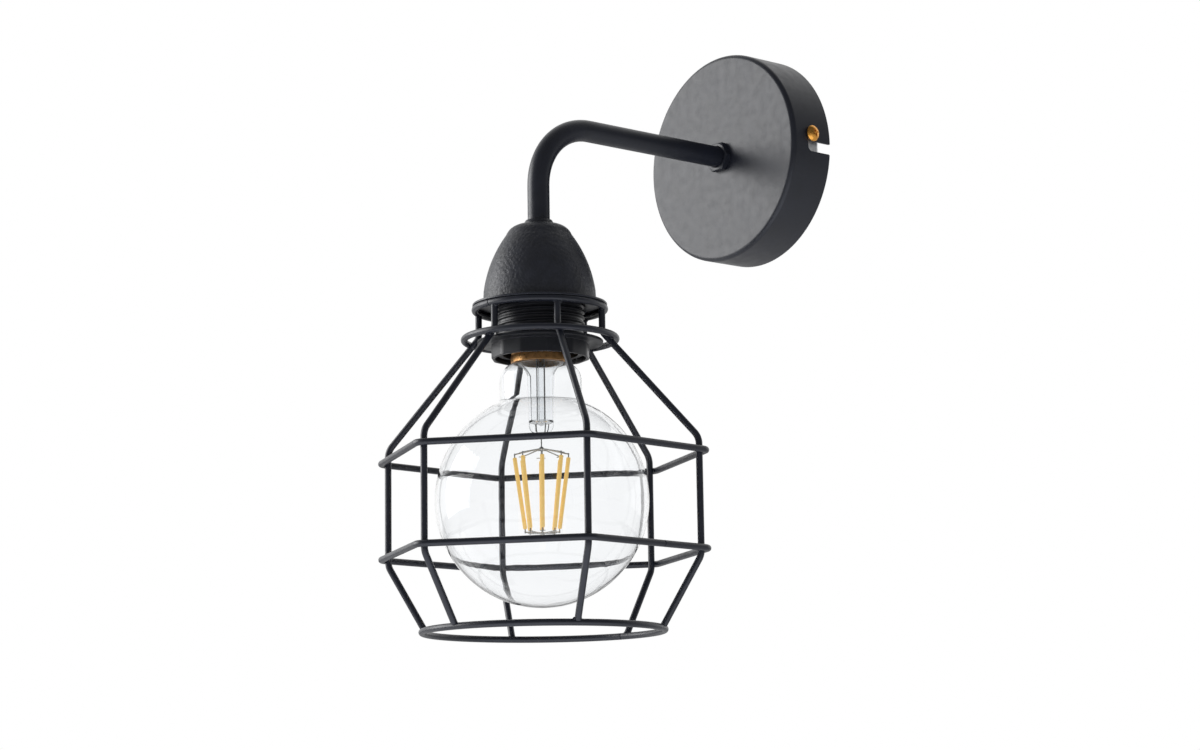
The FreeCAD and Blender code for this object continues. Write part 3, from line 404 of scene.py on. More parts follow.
def threaded(bm, form, pitch, low, high, bore, sides=96):
    """Sleeve on the lamp's axis with a right-handed thread outside.

    form holds the (radius, drop) points of one pitch, from the top down.
    """
    count = math.ceil((high - low) / pitch) + 2
    points = [LAMP_AXIS + Vector((radius, 0, high - pitch * k - drop))
              for k in range(count) for radius, drop in form]
    verts, edges = wire_through(bm, points, False)
    spun(bm, verts + edges, LAMP_AXIS, UP, 2 * math.pi, sides, rise=pitch / sides)
    bmesh.ops.remove_doubles(bm, verts=bm.verts[:], dist=2 * SAME_HEIGHT)
    for height, normal in ((high, UP), (low, -UP)):
        bmesh.ops.bisect_plane(bm, geom=bm.verts[:] + bm.edges[:] + bm.faces[:], dist=SAME_POINT,
                               plane_co=LAMP_AXIS + UP * height, plane_no=normal, clear_outer=True)
    rims = []
    for height in (high, low):
        edge_of_thread = [e for e in bm.edges if e.is_boundary
                          and all(abs(v.co.z - height) < SAME_HEIGHT for v in e.verts)]
        rims.append((edge_of_thread, circle(bm, LAMP_AXIS + UP * height, UP, bore, sides)))
    for outside, inside in rims:
        bmesh.ops.bridge_loops(bm, edges=outside + inside)
    bmesh.ops.bridge_loops(bm, edges=rims[0][1] + rims[1][1])


def loose_object(bm, name):
    """A mesh object with nothing set on it yet."""
    mesh = bpy.data.meshes.new(name)
    bm.to_mesh(mesh)
    bm.free()
    made = bpy.data.objects.new(name, mesh)
    bpy.context.scene.collection.objects.link(made)
    return made


def joined(bm, part):
    """Add one mesh to another."""
    mesh = bpy.data.meshes.new("part")
    part.to_mesh(mesh)
    part.free()
    bm.from_mesh(mesh)
    bpy.data.meshes.remove(mesh)


def carved(bm, *cutters):
    """The solid less its cutters."""
    body = loose_object(bm, "blank")
    tools = [loose_object(cutter, "cutter") for cutter in cutters]
    for tool in tools:
        step = body.modifiers.new("cut", "BOOLEAN")
        step.operation = "DIFFERENCE"
        step.solver = "EXACT"
        step.object = tool
    shown = body.evaluated_get(bpy.context.evaluated_depsgraph_get())
    result = bmesh.new()
    result.from_mesh(shown.to_mesh())
    shown.to_mesh_clear()
    for part in [body] + tools:
        bpy.data.meshes.remove(part.data)
    return result


def finished(bm, name, body, slot, replaced=(), bevel=0.0):
    """Make a piece of a mesh: shaded smooth between its edges, riding on its body."""
    bmesh.ops.remove_doubles(bm, verts=bm.verts[:], dist=SAME_POINT)
    outward(bm)
    for face in bm.faces:
        face.smooth = True
    for edge in bm.edges:
        edge.smooth = edge.calc_face_angle(0.0) < SHARP_ANGLE
    piece = loose_object(bm, name)
    if bevel > 0:
        soften = piece.modifiers.new("soft edges", "BEVEL")
        soften.width = bevel
        soften.segments = 2
        soften.limit_method = "ANGLE"
        soften.angle_limit = SHARP_ANGLE
        soften.use_clamp_overlap = False
    weigh = piece.modifiers.new("even shading", "WEIGHTED_NORMAL")
    weigh.keep_sharp = True
    piece.data.materials.append(bpy.data.materials[slot])
    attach(piece, body)
    if replaced:
        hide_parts(*replaced)
    return piece


# ---- finishes ----------------------------------------------------------------------------------------
class Finish:
    """A procedural surface that is built up step by step."""

    def __init__(self, slot, colour, roughness, metallic=0.0, specular=0.5):
        plain = bpy.data.materials.get(slot)
        if plain is not None:
            plain.name = slot + "_plain"        # the frame's own flat material
        self.material = bpy.data.materials.new(slot)
        self.material.use_nodes = True
        self.nodes = self.material.node_tree.nodes
        self.links = self.material.node_tree.links
        self.surface = self.nodes["Principled BSDF"]
        self.surface.inputs["Base Color"].default_value = (*colour, 1.0)
        self.surface.inputs["Roughness"].default_value = roughness
        self.surface.inputs["Metallic"].default_value = metallic
        self.surface.inputs["Specular IOR Level"].default_value = specular
        self.material.diffuse_color = (*colour, 1.0)
        self.colour = Vector(colour)
        self.place = self.nodes.new("ShaderNodeTexCoord").outputs["Object"]
        self.bump = None

    def noise(self, size, detail=2.0, stretch=(1, 1, 1)):
        """Noise whose patches are about a size across."""
        mapping = self.nodes.new("ShaderNodeMapping")
        mapping.inputs["Scale"].default_value = stretch
        texture = self.nodes.new("ShaderNodeTexNoise")
        texture.inputs["Scale"].default_value = 1.0 / size
        texture.inputs["Detail"].default_value = detail
        self.links.new(self.place, mapping.inputs["Vector"])
        self.links.new(mapping.outputs["Vector"], texture.inputs["Vector"])
        return texture.outputs["Fac"]

    def cells(self, size, feature="F1"):
        """Rounded cells about a size across."""
        texture = self.nodes.new("ShaderNodeTexVoronoi")
        texture.feature = feature
        texture.inputs["Scale"].default_value = 1.0 / size
        self.links.new(self.place, texture.inputs["Vector"])
        return texture.outputs["Distance"]

    def ranged(self, value, low, high, start=0.3, stop=0.7):
        """Spread a value over a range."""
        spread = self.nodes.new("ShaderNodeMapRange")
        spread.inputs["From Min"].default_value = start
        spread.inputs["From Max"].default_value = stop
        spread.inputs["To Min"].default_value = low
        spread.inputs["To Max"].default_value = high
        self.links.new(value, spread.inputs["Value"])
        return spread.outputs["Result"]

    def mixed(self, share, first, second):
        """A colour between two colours."""
        mix = self.nodes.new("ShaderNodeMix")
        mix.data_type = "RGBA"
        for socket, colour in ((mix.inputs[6], first), (mix.inputs[7], second)):
            if isinstance(colour, bpy.types.NodeSocket):
                self.links.new(colour, socket)
            else:
                socket.default_value = (*colour, 1.0)
        self.links.new(share, mix.inputs[0])
        return mix.outputs[2]

    def mottled(self, size, dark=0.85, light=1.15, tint=(1, 1, 1)):
        """Vary the colour in soft patches, the light ones a little tinted."""
        light_colour = [min(c * light * t, 1.0) for c, t in zip(self.colour, tint)]
        share = self.ranged(self.noise(size, 3.0), 0.0, 1.0)
        self.links.new(self.mixed(share, self.colour * dark, light_colour),
                       self.surface.inputs["Base Color"])
        return self

    def uneven(self, size, low, high, stretch=(1, 1, 1)):
        """Vary the roughness."""
        self.links.new(self.ranged(self.noise(size, 3.0, stretch), low, high),
                       self.surface.inputs["Roughness"])
        return self

    def grained(self, height, depth, strength=1.0):
        """Raise the surface by a pattern times a depth."""
        node = self.nodes.new("ShaderNodeBump")
        node.inputs["Strength"].default_value = strength
        node.inputs["Distance"].default_value = depth
        self.links.new(height, node.inputs["Height"])
        if self.bump is not None:
            self.links.new(self.bump, node.inputs["Normal"])
        self.bump = node.outputs["Normal"]
        self.links.new(self.bump, self.surface.inputs["Normal"])
        return self


def satin_coat(slot, colour, roughness):
    """Powder coat: faint peel, fine grit and slightly uneven gloss."""
    coat = Finish(slot, colour, roughness, specular=0.5)
    coat.mottled(9 * MM, 0.92, 1.08, (1.0, 1.0, 1.05))
    coat.uneven(4 * MM, roughness - 0.04, roughness + 0.05)
    coat.grained(coat.noise(1.6 * MM, 2.0), 0.005 * MM)
    coat.grained(coat.noise(0.35 * MM, 2.0), 0.003 * MM)


def casting_coat(colours):
    """Thick textured coat with leather-like cells."""
    coat = Finish("black_casting", colours.casting, 0.5, specular=0.5)
    coat.mottled(6 * MM, 0.8, 1.2, (1.0, 1.0, 1.04))
    coat.uneven(1.2 * MM, 0.40, 0.56)
    coat.grained(coat.cells(1.5 * MM, "SMOOTH_F1"), 0.20 * MM)
    coat.grained(coat.noise(0.8 * MM, 4.0), 0.10 * MM)


def moulded_black(colours):
    """Moulded lampholder: smooth with faint flow marks."""
    moulded = Finish("black_moulding", colours.moulding, 0.36, specular=0.35)
    moulded.mottled(12 * MM, 0.85, 1.2)
    moulded.uneven(5 * MM, 0.30, 0.42)
    moulded.grained(moulded.noise(0.7 * MM, 3.0), 0.006 * MM)


def zinc_plate(colours):
    """Bright zinc with a soft spangle and rolling marks."""
    zinc = Finish("zinc_plated_steel", colours.zinc, 0.36, metallic=1.0)
    spangle = zinc.ranged(zinc.cells(2.2 * MM), 0.0, 1.0, 0.1, 0.8)
    zinc.links.new(zinc.mixed(spangle, zinc.colour * 0.86, zinc.colour * 1.12),
                   zinc.surface.inputs["Base Color"])
    zinc.uneven(1.5 * MM, 0.28, 0.46, (6, 1, 1))
    zinc.grained(zinc.noise(0.5 * MM, 3.0, (8, 1, 1)), 0.006 * MM)


def brass_metal(slot, colour, roughness, brown):
    """Brass, darker and browner in patches."""
    brass = Finish(slot, colour, roughness, metallic=1.0)
    share = brass.ranged(brass.noise(1.8 * MM, 4.0), 0.0, 1.0, 0.35, 0.75)
    brass.links.new(brass.mixed(share, brass.colour, brown), brass.surface.inputs["Base Color"])
    brass.uneven(0.8 * MM, roughness - 0.08, roughness + 0.1)
    brass.grained(brass.noise(0.3 * MM, 3.0), 0.005 * MM)


def plain_moulding(slot, colour, roughness, grain, depth):
    """Pale or coloured moulding, foam, ceramic or insulation."""
    plain = Finish(slot, colour, roughness)
    plain.mottled(5 * MM, 0.93, 1.05)
    plain.uneven(2 * MM, roughness - 0.05, roughness + 0.06)
    plain.grained(plain.noise(grain, 3.0), depth)


def striped_insulation():
    """Green insulation with a yellow stripe down the wire."""
    striped = Finish("green_yellow_insulation", (0.05, 0.30, 0.05), 0.42)
    parts = striped.nodes.new("ShaderNodeSeparateXYZ")
    striped.links.new(striped.place, parts.inputs[0])
    stripe = striped.ranged(parts.outputs["X"], 0.0, 1.0, -0.12 * MM, 0.12 * MM)
    striped.links.new(striped.mixed(stripe, (0.05, 0.30, 0.05), (0.85, 0.68, 0.04)),
                      striped.surface.inputs["Base Color"])
    striped.uneven(2 * MM, 0.36, 0.48)
    striped.grained(striped.noise(0.6 * MM, 2.0), 0.004 * MM)


def clear_glass():
    """Blown glass: thin, clear, with very slight waves."""
    glass = Finish("clear_glass", (0.985, 0.993, 1.0), 0.0)
    glass.surface.inputs["Transmission Weight"].default_value = 1.0
    glass.surface.inputs["IOR"].default_value = 1.3
    glass.grained(glass.noise(16 * MM, 2.0), 0.10 * MM)


def dark_glass():
    """Black glass of the cap's insulator."""
    glass = Finish("black_glass", (0.012, 0.012, 0.014), 0.08)
    glass.mottled(2 * MM, 0.7, 1.4)
    glass.grained(glass.noise(2.5 * MM, 2.0), 0.02 * MM)


def phosphor_with_painted_glow(colours):
    """Yellow phosphor gel over the filament's chips, and a painted glow that keeps them bright."""
    coat = Finish("yellow_filament", colours.filament, 0.55, specular=0.3)
    coat.mottled(1.2 * MM, 0.93, 1.03, (1.0, 1.02, 1.1))
    coat.uneven(1 * MM, 0.45, 0.65)
    coat.grained(coat.noise(0.4 * MM, 3.0), 0.01 * MM)
    # painted glow: the filaments are no lamp, but a weak emission in their own colour keeps them bright
    coat.surface.inputs["Emission Color"].default_value = (*colours.filament, 1.0)
    coat.surface.inputs["Emission Strength"].default_value = 0.4


def bright_wire(colours):
    """Drawn wire of the supports."""
    wire = Finish("support_wire", colours.wire, 0.3, metallic=1.0)
    wire.mottled(1.5 * MM, 0.8, 1.1)
    wire.uneven(0.8 * MM, 0.22, 0.4)
    wire.grained(wire.noise(0.2 * MM, 2.0), 0.002 * MM)


class CAGELIGHT_OT_finishes(Operator):
    """Make every finish, and put it on the pieces that keep the shape of the frame"""
    bl_idname = "cage_light.finishes"
    bl_label = "Finishes"

    def execute(self, context):
        colours = context.scene.cage_light.colours
        satin_coat("black_steel", colours.coat, 0.38)
        satin_coat("black_rod", colours.coat, 0.36)
        casting_coat(colours)
        moulded_black(colours)
        zinc_plate(colours)
        brass_metal("brass_screw", colours.brass, 0.26, (0.62, 0.30, 0.06))
        brass_metal("brass_fitting", colours.fitting, 0.3, (0.55, 0.36, 0.14))
        brass_metal("bulb_brass", colours.cap, 0.34, (0.50, 0.26, 0.10))
        plain_moulding("foam_pad", (0.09, 0.09, 0.09), 0.9, 0.5 * MM, 0.12 * MM)
        plain_moulding("white_nylon", (0.82, 0.82, 0.78), 0.45, 0.5 * MM, 0.006 * MM)
        plain_moulding("white_ceramic", (0.84, 0.82, 0.76), 0.5, 0.8 * MM, 0.01 * MM)
        plain_moulding("brown_insulation", (0.16, 0.065, 0.025), 0.42, 0.6 * MM, 0.004 * MM)
        plain_moulding("blue_insulation", (0.03, 0.12, 0.42), 0.42, 0.6 * MM, 0.004 * MM)
        striped_insulation()
        clear_glass()
        dark_glass()
        phosphor_with_painted_glow(colours)
        bright_wire(colours)
        for subpart in frame["record"]["subparts"]:
            node = frame["nodes"][subpart["node"]]
            for slot in node.material_slots:
                slot.material = bpy.data.materials[subpart["material_slot"]]
        return {"FINISHED"}


# ---- the strap, its screws and the rose --------------------------------------------------------------
class CAGELIGHT_OT_strap(Operator):
    """Bend the zinc-plated strap that is screwed to the wall, with an ear at each end"""
    bl_idname = "cage_light.strap"
    bl_label = "Wall strap"

    def execute(self, context):
        rose = context.scene.cage_light.rose
        half = rose.strap_thickness / 2
        wide = rose.strap_width / 2
        ear_x = rose.strap_outer - half
        raised_y = -4.5 * MM - half
        flat_x = 33.0 * MM
        right = [(flat_x, -half, 0), (flat_x + 4.5 * MM, raised_y, 0), (ear_x, raised_y, 0),
                 (ear_x, -19.0 * MM, 0)]
        route = [(-x, y, z) for x, y, z in reversed(right)] + right
        edge = 0.25 * MM
        outline = rounded([(-half, -wide, edge), (half, -wide, edge), (half, wide, edge),
                           (-half, wide, edge)], 2)
        bm = bmesh.new()
        start = Vector(route[0])
        section = wire_through(bm, [start + Vector((u, 0, v)) for u, v in outline], True)[1]
        radii = [r * MM for r in (1.75, 2.0, 2.0, 2.0, 2.0, 1.75)]
        drawn(bm, section, route, radii, bend_steps=6)
        outward(bm)
        cutters = [pin((0, -5 * MM, 0), (0, 5 * MM, 0), 5.0 * MM, 48)]      # the cable's hole
        slot_half = 2.5 * MM
        slot_end = slot_half * 0.999            # just short of a half circle, which can't be closed
        straight = 6.0 * MM - slot_half
        for side in (1, -1):
            wall_slot = bmesh.new()
            middle = side * 24.0 * MM
            ends = rounded([(-straight - slot_half, -slot_half, slot_end),
                            (straight + slot_half, -slot_half, slot_end),
                            (straight + slot_half, slot_half, slot_end),
                            (-straight - slot_half, slot_half, slot_end)], 8)
            prism(wall_slot, ends, lambda u, v: Vector((middle + u, -5 * MM, v)),
                  Vector((0, 10 * MM, 0)))
            at = Vector((side * (rose.strap_outer - 5 * MM), -rose.screw_depth,
                         side * rose.screw_height))
            cutters += [wall_slot, pin(at, at + RIGHT * side * 10 * MM, 2.0 * MM)]
        bm = carved(bm, *cutters)
        for side in (1, -1):
            ear_inside = Vector((side * (rose.strap_outer - 2 * half), -rose.screw_depth,
                                 side * rose.screw_height))
            collar = rounded(scaled([(2.0, 0.1), (3.9, 0.1), (3.2, -0.7, 0.4), (3.2, -1.6, 0.2),
                                     (2.0, -1.6, 0.2)]))
            turned(bm, collar, True, ear_inside, RIGHT * side, UP, 32)
        finished(bm, "wall_strap", "bracket", "zinc_plated_steel", ["wall_bracket"])
        return {"FINISHED"}


def side_screw(rose, side):
    """Brass pan-head screw with a cross recess, driven in from the side."""
    seat = rose.radius + 0.3 * MM
    height = 2.5 * MM
    head = 3.8 * MM
    centre = Vector((0, -rose.screw_depth, side * rose.screw_height))
    axis = RIGHT * side
    top = seat + height
    dome = arc((head, seat + 0.7 * MM), (head * 0.55, top - 0.42 * MM), (0.0, top), 10)
    profile = [(0.0, 41.7 * MM)] + rounded(scaled([(1.6, 41.7), (2.0, 42.2)]))
    profile += [(2.0 * MM, seat), (head - 0.2 * MM, seat), (head, seat + 0.2 * MM),
                (head, seat + 0.7 * MM)]
    bm = bmesh.new()
    turned(bm, profile + dome, False, centre, axis, UP, 64)
    outward(bm)
    cutters = []
    for quarter in (0, 90):                     # the two arms of the cross recess
        blade = bmesh.new()
        wing = rounded(scaled([(-2.1, 1.0), (-1.7, -0.6, 0.2), (-0.6, -1.5, 0.2), (0.6, -1.5, 0.2),
                               (1.7, -0.6, 0.2), (2.1, 1.0)]), 3)
        thick = 0.42 * MM
        spin_by = Matrix.Rotation(math.radians(quarter + 20) * side, 3, axis)
        at = centre + axis * top
        prism(blade, wing, lambda u, v: at + spin_by @ (UP * u - OUT * thick) + axis * v,
              spin_by @ (OUT * 2 * thick))
        cutters.append(blade)
    return carved(bm, *cutters)


class CAGELIGHT_OT_side_screws(Operator):
    """Turn the two brass screws that hold the rose on the strap"""
    bl_idname = "cage_light.side_screws"
    bl_label = "Side screws"

    def execute(self, context):
        rose = context.scene.cage_light.rose
        for side, name in ((1, "right"), (-1, "left")):
            finished(side_screw(rose, side), "brass_screw_" + name, "bracket", "brass_screw",
                     ["side_screw_" + name], bevel=0.08 * MM)
        return {"FINISHED"}


def bayonet_cutter(rose, side):
    """Prism in the shape of an L-shaped slot, its mouth rounded into the rim."""
    half = rose.slot_half
    deep = rose.screw_depth + half
    shallow = rose.screw_depth - half
    low = rose.slot_entry - half
    inner = rose.slot_entry + half
    high = rose.screw_height + half
    flare = 1.0 * MM
    small = 0.5 * MM
    soft = half * 0.99
    quarter = 1 - math.sqrt(0.5)                # where the middle of a quarter circle stands
    beyond = 2.0 * MM
    outline = [(beyond, low - flare), (0.0, low - flare)]
    outline += arc((0.0, low - flare), (-flare * quarter, low - flare * quarter), (-flare, low), 5)
    outline += rounded([(-flare, low), (-deep, low, soft), (-deep, high, soft), (-shallow, high, soft),
                        (-shallow, inner, small), (-small, inner)], 8)[1:]
    outline += arc((-small, inner), (-small * quarter, inner + small * quarter),
                   (0.0, inner + small), 4)
    outline.append((beyond, inner + small))
    cutter = bmesh.new()
    start = rose.radius - 6 * MM
    prism(cutter, outline, lambda y, z: Vector((side * start, y, side * z)), RIGHT * side * 12 * MM)
    return cutter


class CAGELIGHT_OT_rose(Operator):
    """Spin the black cup on the wall and cut its two bayonet slots"""
    bl_idname = "cage_light.rose"
    bl_label = "Rose"

    def execute(self, context):
        sizes = context.scene.cage_light
        rose = sizes.rose
        front = -rose.depth
        inside = rose.radius - rose.wall
        hole = sizes.arm.radius + 0.1 * MM
        rim = 0.35 * MM
        steps = 8
        profile = rounded([(hole, front, 0.15 * MM), (rose.radius, front, rose.edge),
                           (rose.radius, 0.0, rim), (inside, 0.0, rim),
                           (inside, front + rose.wall, rose.edge - rose.wall),
                           (hole, front + rose.wall, 0.15 * MM)], steps)
        # one more point on the flat front, after those of the hole's edge, keeps its shading flat
        profile.insert(steps + 1, (rose.radius - rose.edge - 2 * MM, front))
        bm = bmesh.new()
        turned(bm, profile, True, Vector((0, 0, 0)), -OUT, RIGHT, 192)
        outward(bm)
        bm = carved(bm, bayonet_cutter(rose, 1), bayonet_cutter(rose, -1))
        finished(bm, "rose_shell", "lamp", "black_steel", ["rose_cup"])
        return {"FINISHED"}


# ---- the tube and its nuts ---------------------------------------------------------------------------
class CAGELIGHT_OT_arm(Operator):
    """Bend the tube from the rose to the dome, and turn the collar at its lower end"""
    bl_idname = "cage_light.arm"
    bl_label = "Tube and collar"

    def execute(self, context):
        sizes = context.scene.cage_light
        arm = sizes.arm
        route = [Vector((0, -arm.wall_end, 0)), Vector((0, LAMP_AXIS.y, 0)),
                 Vector((0, LAMP_AXIS.y, -arm.lamp_end))]
        bm = bmesh.new()
        ends = []
        for radius in (arm.radius, arm.bore):
            section = circle(bm, route[0], OUT, radius, 64)
            ends.append((section, drawn(bm, section, route, [arm.bend], bend_steps=48, capped=False)))
        for which in (0, 1):
            bmesh.ops.bridge_loops(bm, edges=ends[0][which] + ends[1][which])
        finished(bm, "bent_tube", "lamp", "black_steel", ["arm_tube"])
        top = sizes.holder.dome_top
        soft = 0.3 * MM
        collar = rounded([(arm.radius, top), (6.9 * MM, top, 0.15 * MM), (6.75 * MM, top + 1.0 * MM, soft),
                          (6.0 * MM, top + 2.4 * MM, soft), (arm.radius, top + 2.4 * MM)])
        bm = bmesh.new()
        turned(bm, collar, sides=72)
        finished(bm, "tube_collar", "lamp", "black_steel", ["top_collar"])
        return {"FINISHED"}


def hexagon(bm, flats, face_y, thickness, bore):
    """Six-sided nut on the rose's axis whose corners are turned off."""
    flat = flats / 2
    corner = flat / math.cos(math.pi / 6)
    chamfer = 0.6 * MM
    blank = bmesh.new()
    outer_y = face_y - thickness
    soft = 0.25 * MM
    profile = rounded([(bore, face_y), (flat, face_y, soft), (corner + soft, face_y - chamfer),
                       (corner + soft, outer_y + chamfer), (flat - 0.2 * MM, outer_y, soft),
                       (bore + 0.3 * MM, outer_y, 0.1 * MM), (bore, outer_y + 0.3 * MM)])
    turned(blank, profile, True, Vector((0, 0, 0)), -OUT, RIGHT, 96)
    for k in range(6):
        away = Vector((math.cos(math.pi / 3 * (k + 0.5)), 0, math.sin(math.pi / 3 * (k + 0.5))))
        cut = bmesh.ops.bisect_plane(blank, geom=blank.verts[:] + blank.edges[:] + blank.faces[:],
                                     dist=SAME_POINT, plane_co=away * flat, plane_no=away, clear_outer=True)
        rim = [g for g in cut["geom_cut"] if isinstance(g, bmesh.types.BMEdge)]
        bmesh.ops.contextual_create(blank, geom=rim)
    joined(bm, blank)


class CAGELIGHT_OT_nuts(Operator):
    """Cut the nut in front of the rose and the nut behind it"""
    bl_idname = "cage_light.nuts"
    bl_label = "Nuts"

    def execute(self, context):
        sizes = context.scene.cage_light
        arm = sizes.arm
        bm = bmesh.new()
        hexagon(bm, arm.nut_flats, -sizes.rose.depth, arm.nut_thickness, arm.radius)
        finished(bm, "front_hexagon", "lamp", "black_steel", ["front_nut"])
        low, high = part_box("rear_nut")
        bm = bmesh.new()
        hexagon(bm, 14.0 * MM, high.y, high.y - low.y, arm.radius)
        finished(bm, "rear_hexagon", "lamp", "zinc_plated_steel", ["rear_nut"])
        return {"FINISHED"}


# ---- terminal block and wires ------------------------------------------------------------------------
class CAGELIGHT_OT_terminal_block(Operator):
    """Mould the three-pole terminal block behind the rose"""
    bl_idname = "cage_light.terminal_block"
    bl_label = "Terminal block"

    def execute(self, context):
        low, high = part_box("terminal_block")
        middle_z = (low.z + high.z) / 2
        spacing = 9.0 * MM
        half_pole = 3.7 * MM
        entry_y = low.y + 5.0 * MM
        bm = bmesh.new()
        box(bm, (-spacing, low.y, middle_z - 3.0 * MM), (spacing, entry_y, middle_z + 3.0 * MM), 0.4 * MM)
        for x in (-spacing, 0.0, spacing):
            pole = bmesh.new()
            box(pole, (x - half_pole, low.y, low.z), (x + half_pole, high.y, high.z), 0.6 * MM)
            outward(pole)
            bore = pin((x, entry_y, low.z - MM), (x, entry_y, high.z + MM), 2.4 * MM)
            wells = [pin((x, entry_y, z), (x, high.y + MM, z), 2.0 * MM)
                     for z in (middle_z - 4.0 * MM, middle_z + 4.0 * MM)]
            joined(bm, carved(pole, bore, *wells))
        finished(bm, "block_moulding", "lamp", "white_nylon", ["terminal_block"])
        return {"FINISHED"}


class CAGELIGHT_OT_wires(Operator):
    """Lay the live, neutral and earth wires inside the rose, the tube and the dome"""
    bl_idname = "cage_light.wires"
    bl_label = "Wires"

    def execute(self, context):
        sizes = context.scene.cage_light
        entry_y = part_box("terminal_block")[0].y + 5.0 * MM
        radius = 1.0 * MM
        lamp_y = LAMP_AXIS.y / MM
        entry = entry_y / MM
        for side, name, slot in ((-1, "live", "brown_insulation"), (1, "neutral", "blue_insulation")):
            route = scaled([(side * 9.0, entry, -22.0), (side * 9.0, entry, -15.0),
                            (side * 4.0, -6.5, -9.0), (side * 1.5, -6.0, 0.0),
                            (side * 1.5, lamp_y, 0.0), (side * 1.5, lamp_y, -59.0),
                            (side * 8.5, lamp_y, -66.0), (side * 8.5, lamp_y, -70.5)])
            radii = [3 * MM, 4 * MM, 3 * MM, sizes.arm.bend, 4 * MM, 3 * MM]
            bm = bmesh.new()
            rod(bm, route, radii, radius, 20, 0.1 * MM, 12)
            finished(bm, name + "_core", "lamp", slot, [name + "_wire"])
        barrel_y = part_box("rear_nut")[1].y / MM
        route = scaled([(0, barrel_y - 2.0, -12.0), (0, barrel_y - 2.0, -15.5), (0, entry, -18.5),
                        (0, entry, -22.0)])
        bm = bmesh.new()
        rod(bm, route, [3.5 * MM, 3.5 * MM], radius, 20, 0.1 * MM, 12)
        finished(bm, "earth_core", "lamp", "green_yellow_insulation", ["earth_wire"])
        return {"FINISHED"}


# ---- dome, holder and shade ring ---------------------------------------------------------------------
def dome_flank(holder, inset, steps):
    """Points of the dome's flank from the crown to the base, drawn in by a wall given in millimetres."""
    top = holder.dome_top / MM
    points = [(9.5 - 0.4 * inset, top - inset)]
    points += arc(points[-1], (12.9 - 0.75 * inset, top - 1.7 - 0.9 * inset),
                  (14.9 - 0.8 * inset, -53.0 - 0.6 * inset), steps)
    points += arc(points[-1], (21.2 - 0.9 * inset, -64.2 - 0.3 * inset), (25.1 - inset, -78.5), 3 * steps)
    return scaled(points)


class CAGELIGHT_OT_dome(Operator):
    """Cast the dome with its rough coat"""
    bl_idname = "cage_light.dome"
    bl_label = "Dome"

    def execute(self, context):
        sizes = context.scene.cage_light
        holder = sizes.holder
        base = holder.dome_base
        thread = holder.thread
        edge = 0.35 * MM
        outside = dome_flank(holder, 0.0, 8)
        inside = dome_flank(holder, holder.dome_wall / MM, 6)
        bore = sizes.arm.radius
        inner_rim = holder.dome_radius - holder.dome_wall - 0.4 * MM
        outer = [(bore, holder.dome_top)] + outside + rounded(
            [outside[-1], (holder.dome_radius, base, edge), (thread, base, edge),
             (thread, holder.top + MM, edge), (inner_rim, holder.top + MM)])[1:]
        inner = [point for point in reversed(inside) if point[1] > holder.top + 2 * MM]
        boss = scaled([(8.0, -51.5), (8.0, -54.0), (5.0, -54.0)])
        bm = bmesh.new()
        turned(bm, outer + inner + boss, True, sides=160)
        finished(bm, "dome_casting", "lamp", "black_casting", ["dome_cap"])
        return {"FINISHED"}


class CAGELIGHT_OT_holder(Operator):
    """Cut the coarse thread of the lampholder's body"""
    bl_idname = "cage_light.holder"
    bl_label = "Lampholder body"

    def execute(self, context):
        holder = context.scene.cage_light.holder
        crest = holder.thread
        root = crest - holder.thread_depth
        pitch = holder.thread_pitch
        form = [(root, 0.05 * MM), (root, 0.55 * MM), (root + 0.06 * MM, 0.66 * MM),
                (crest - 0.06 * MM, 1.02 * MM), (crest, 1.12 * MM), (crest, 1.58 * MM),
                (crest - 0.06 * MM, 1.68 * MM), (root + 0.06 * MM, 2.04 * MM), (root, 2.15 * MM)]
        bm = bmesh.new()
        threaded(bm, form, pitch, holder.mouth + 1.3 * MM, holder.top, holder.bore)
        rim = 0.25 * MM
        plain_top = holder.mouth + 1.35 * MM
        plain = root - 0.02 * MM                # the plain end below the thread
        mouth = rounded([(holder.bore, plain_top), (plain, plain_top), (plain, holder.mouth, rim),
                         (holder.bore, holder.mouth, rim)])
        turned(bm, mouth)
        lip_root = holder.bore / MM + 0.02
        lip = rounded(scaled([(lip_root, -82.3), (15.0, -82.3, 0.2), (15.0, -83.8, 0.2),
                              (lip_root, -83.8)]))
        turned(bm, lip)
        finished(bm, "holder_sleeve", "lamp", "black_moulding", ["holder_body"])
        return {"FINISHED"}


class CAGELIGHT_OT_shade_ring(Operator):
    """Mould the threaded ring with its flange and twelve-sided grip"""
    bl_idname = "cage_light.shade_ring"
    bl_label = "Shade ring"

    def execute(self, context):
        holder = context.scene.cage_light.holder
        bore = holder.thread + 0.3 * MM
        flange_bottom = holder.flange_top - holder.flange_thickness
        edge = 0.35 * MM
        profile = rounded([(bore, holder.flange_top, 0.2 * MM), (holder.flange, holder.flange_top, edge),
                           (holder.flange, flange_bottom, edge), (holder.grip, flange_bottom, 0.3 * MM),
                           (holder.grip, holder.grip_end, edge), (bore, holder.grip_end, edge)])
        bm = bmesh.new()
        turned(bm, profile, sides=192)
        flat_turn = 2 * math.pi / holder.grip_sides
        for vert in bm.verts:
            away = vert.co - LAMP_AXIS
            radius = away.xy.length
            if vert.co.z < flange_bottom - 0.2 * MM and radius > bore + 0.8 * MM:
                across = math.atan2(away.y, away.x) % flat_turn - flat_turn / 2
                side = min(holder.grip, holder.grip_flat / math.cos(across))
                vert.co.xy = LAMP_AXIS.xy + away.xy * (1 - (holder.grip - side) / radius)
        finished(bm, "threaded_ring", "shade_ring", "black_moulding", ["shade_ring"])
        return {"FINISHED"}


# ---- the cage ----------------------------------------------------------------------------------------
def rod_turn(cage, k):
    """Angle of upright rod k about the lamp's axis."""
    return cage.turned + math.pi / 3 * k


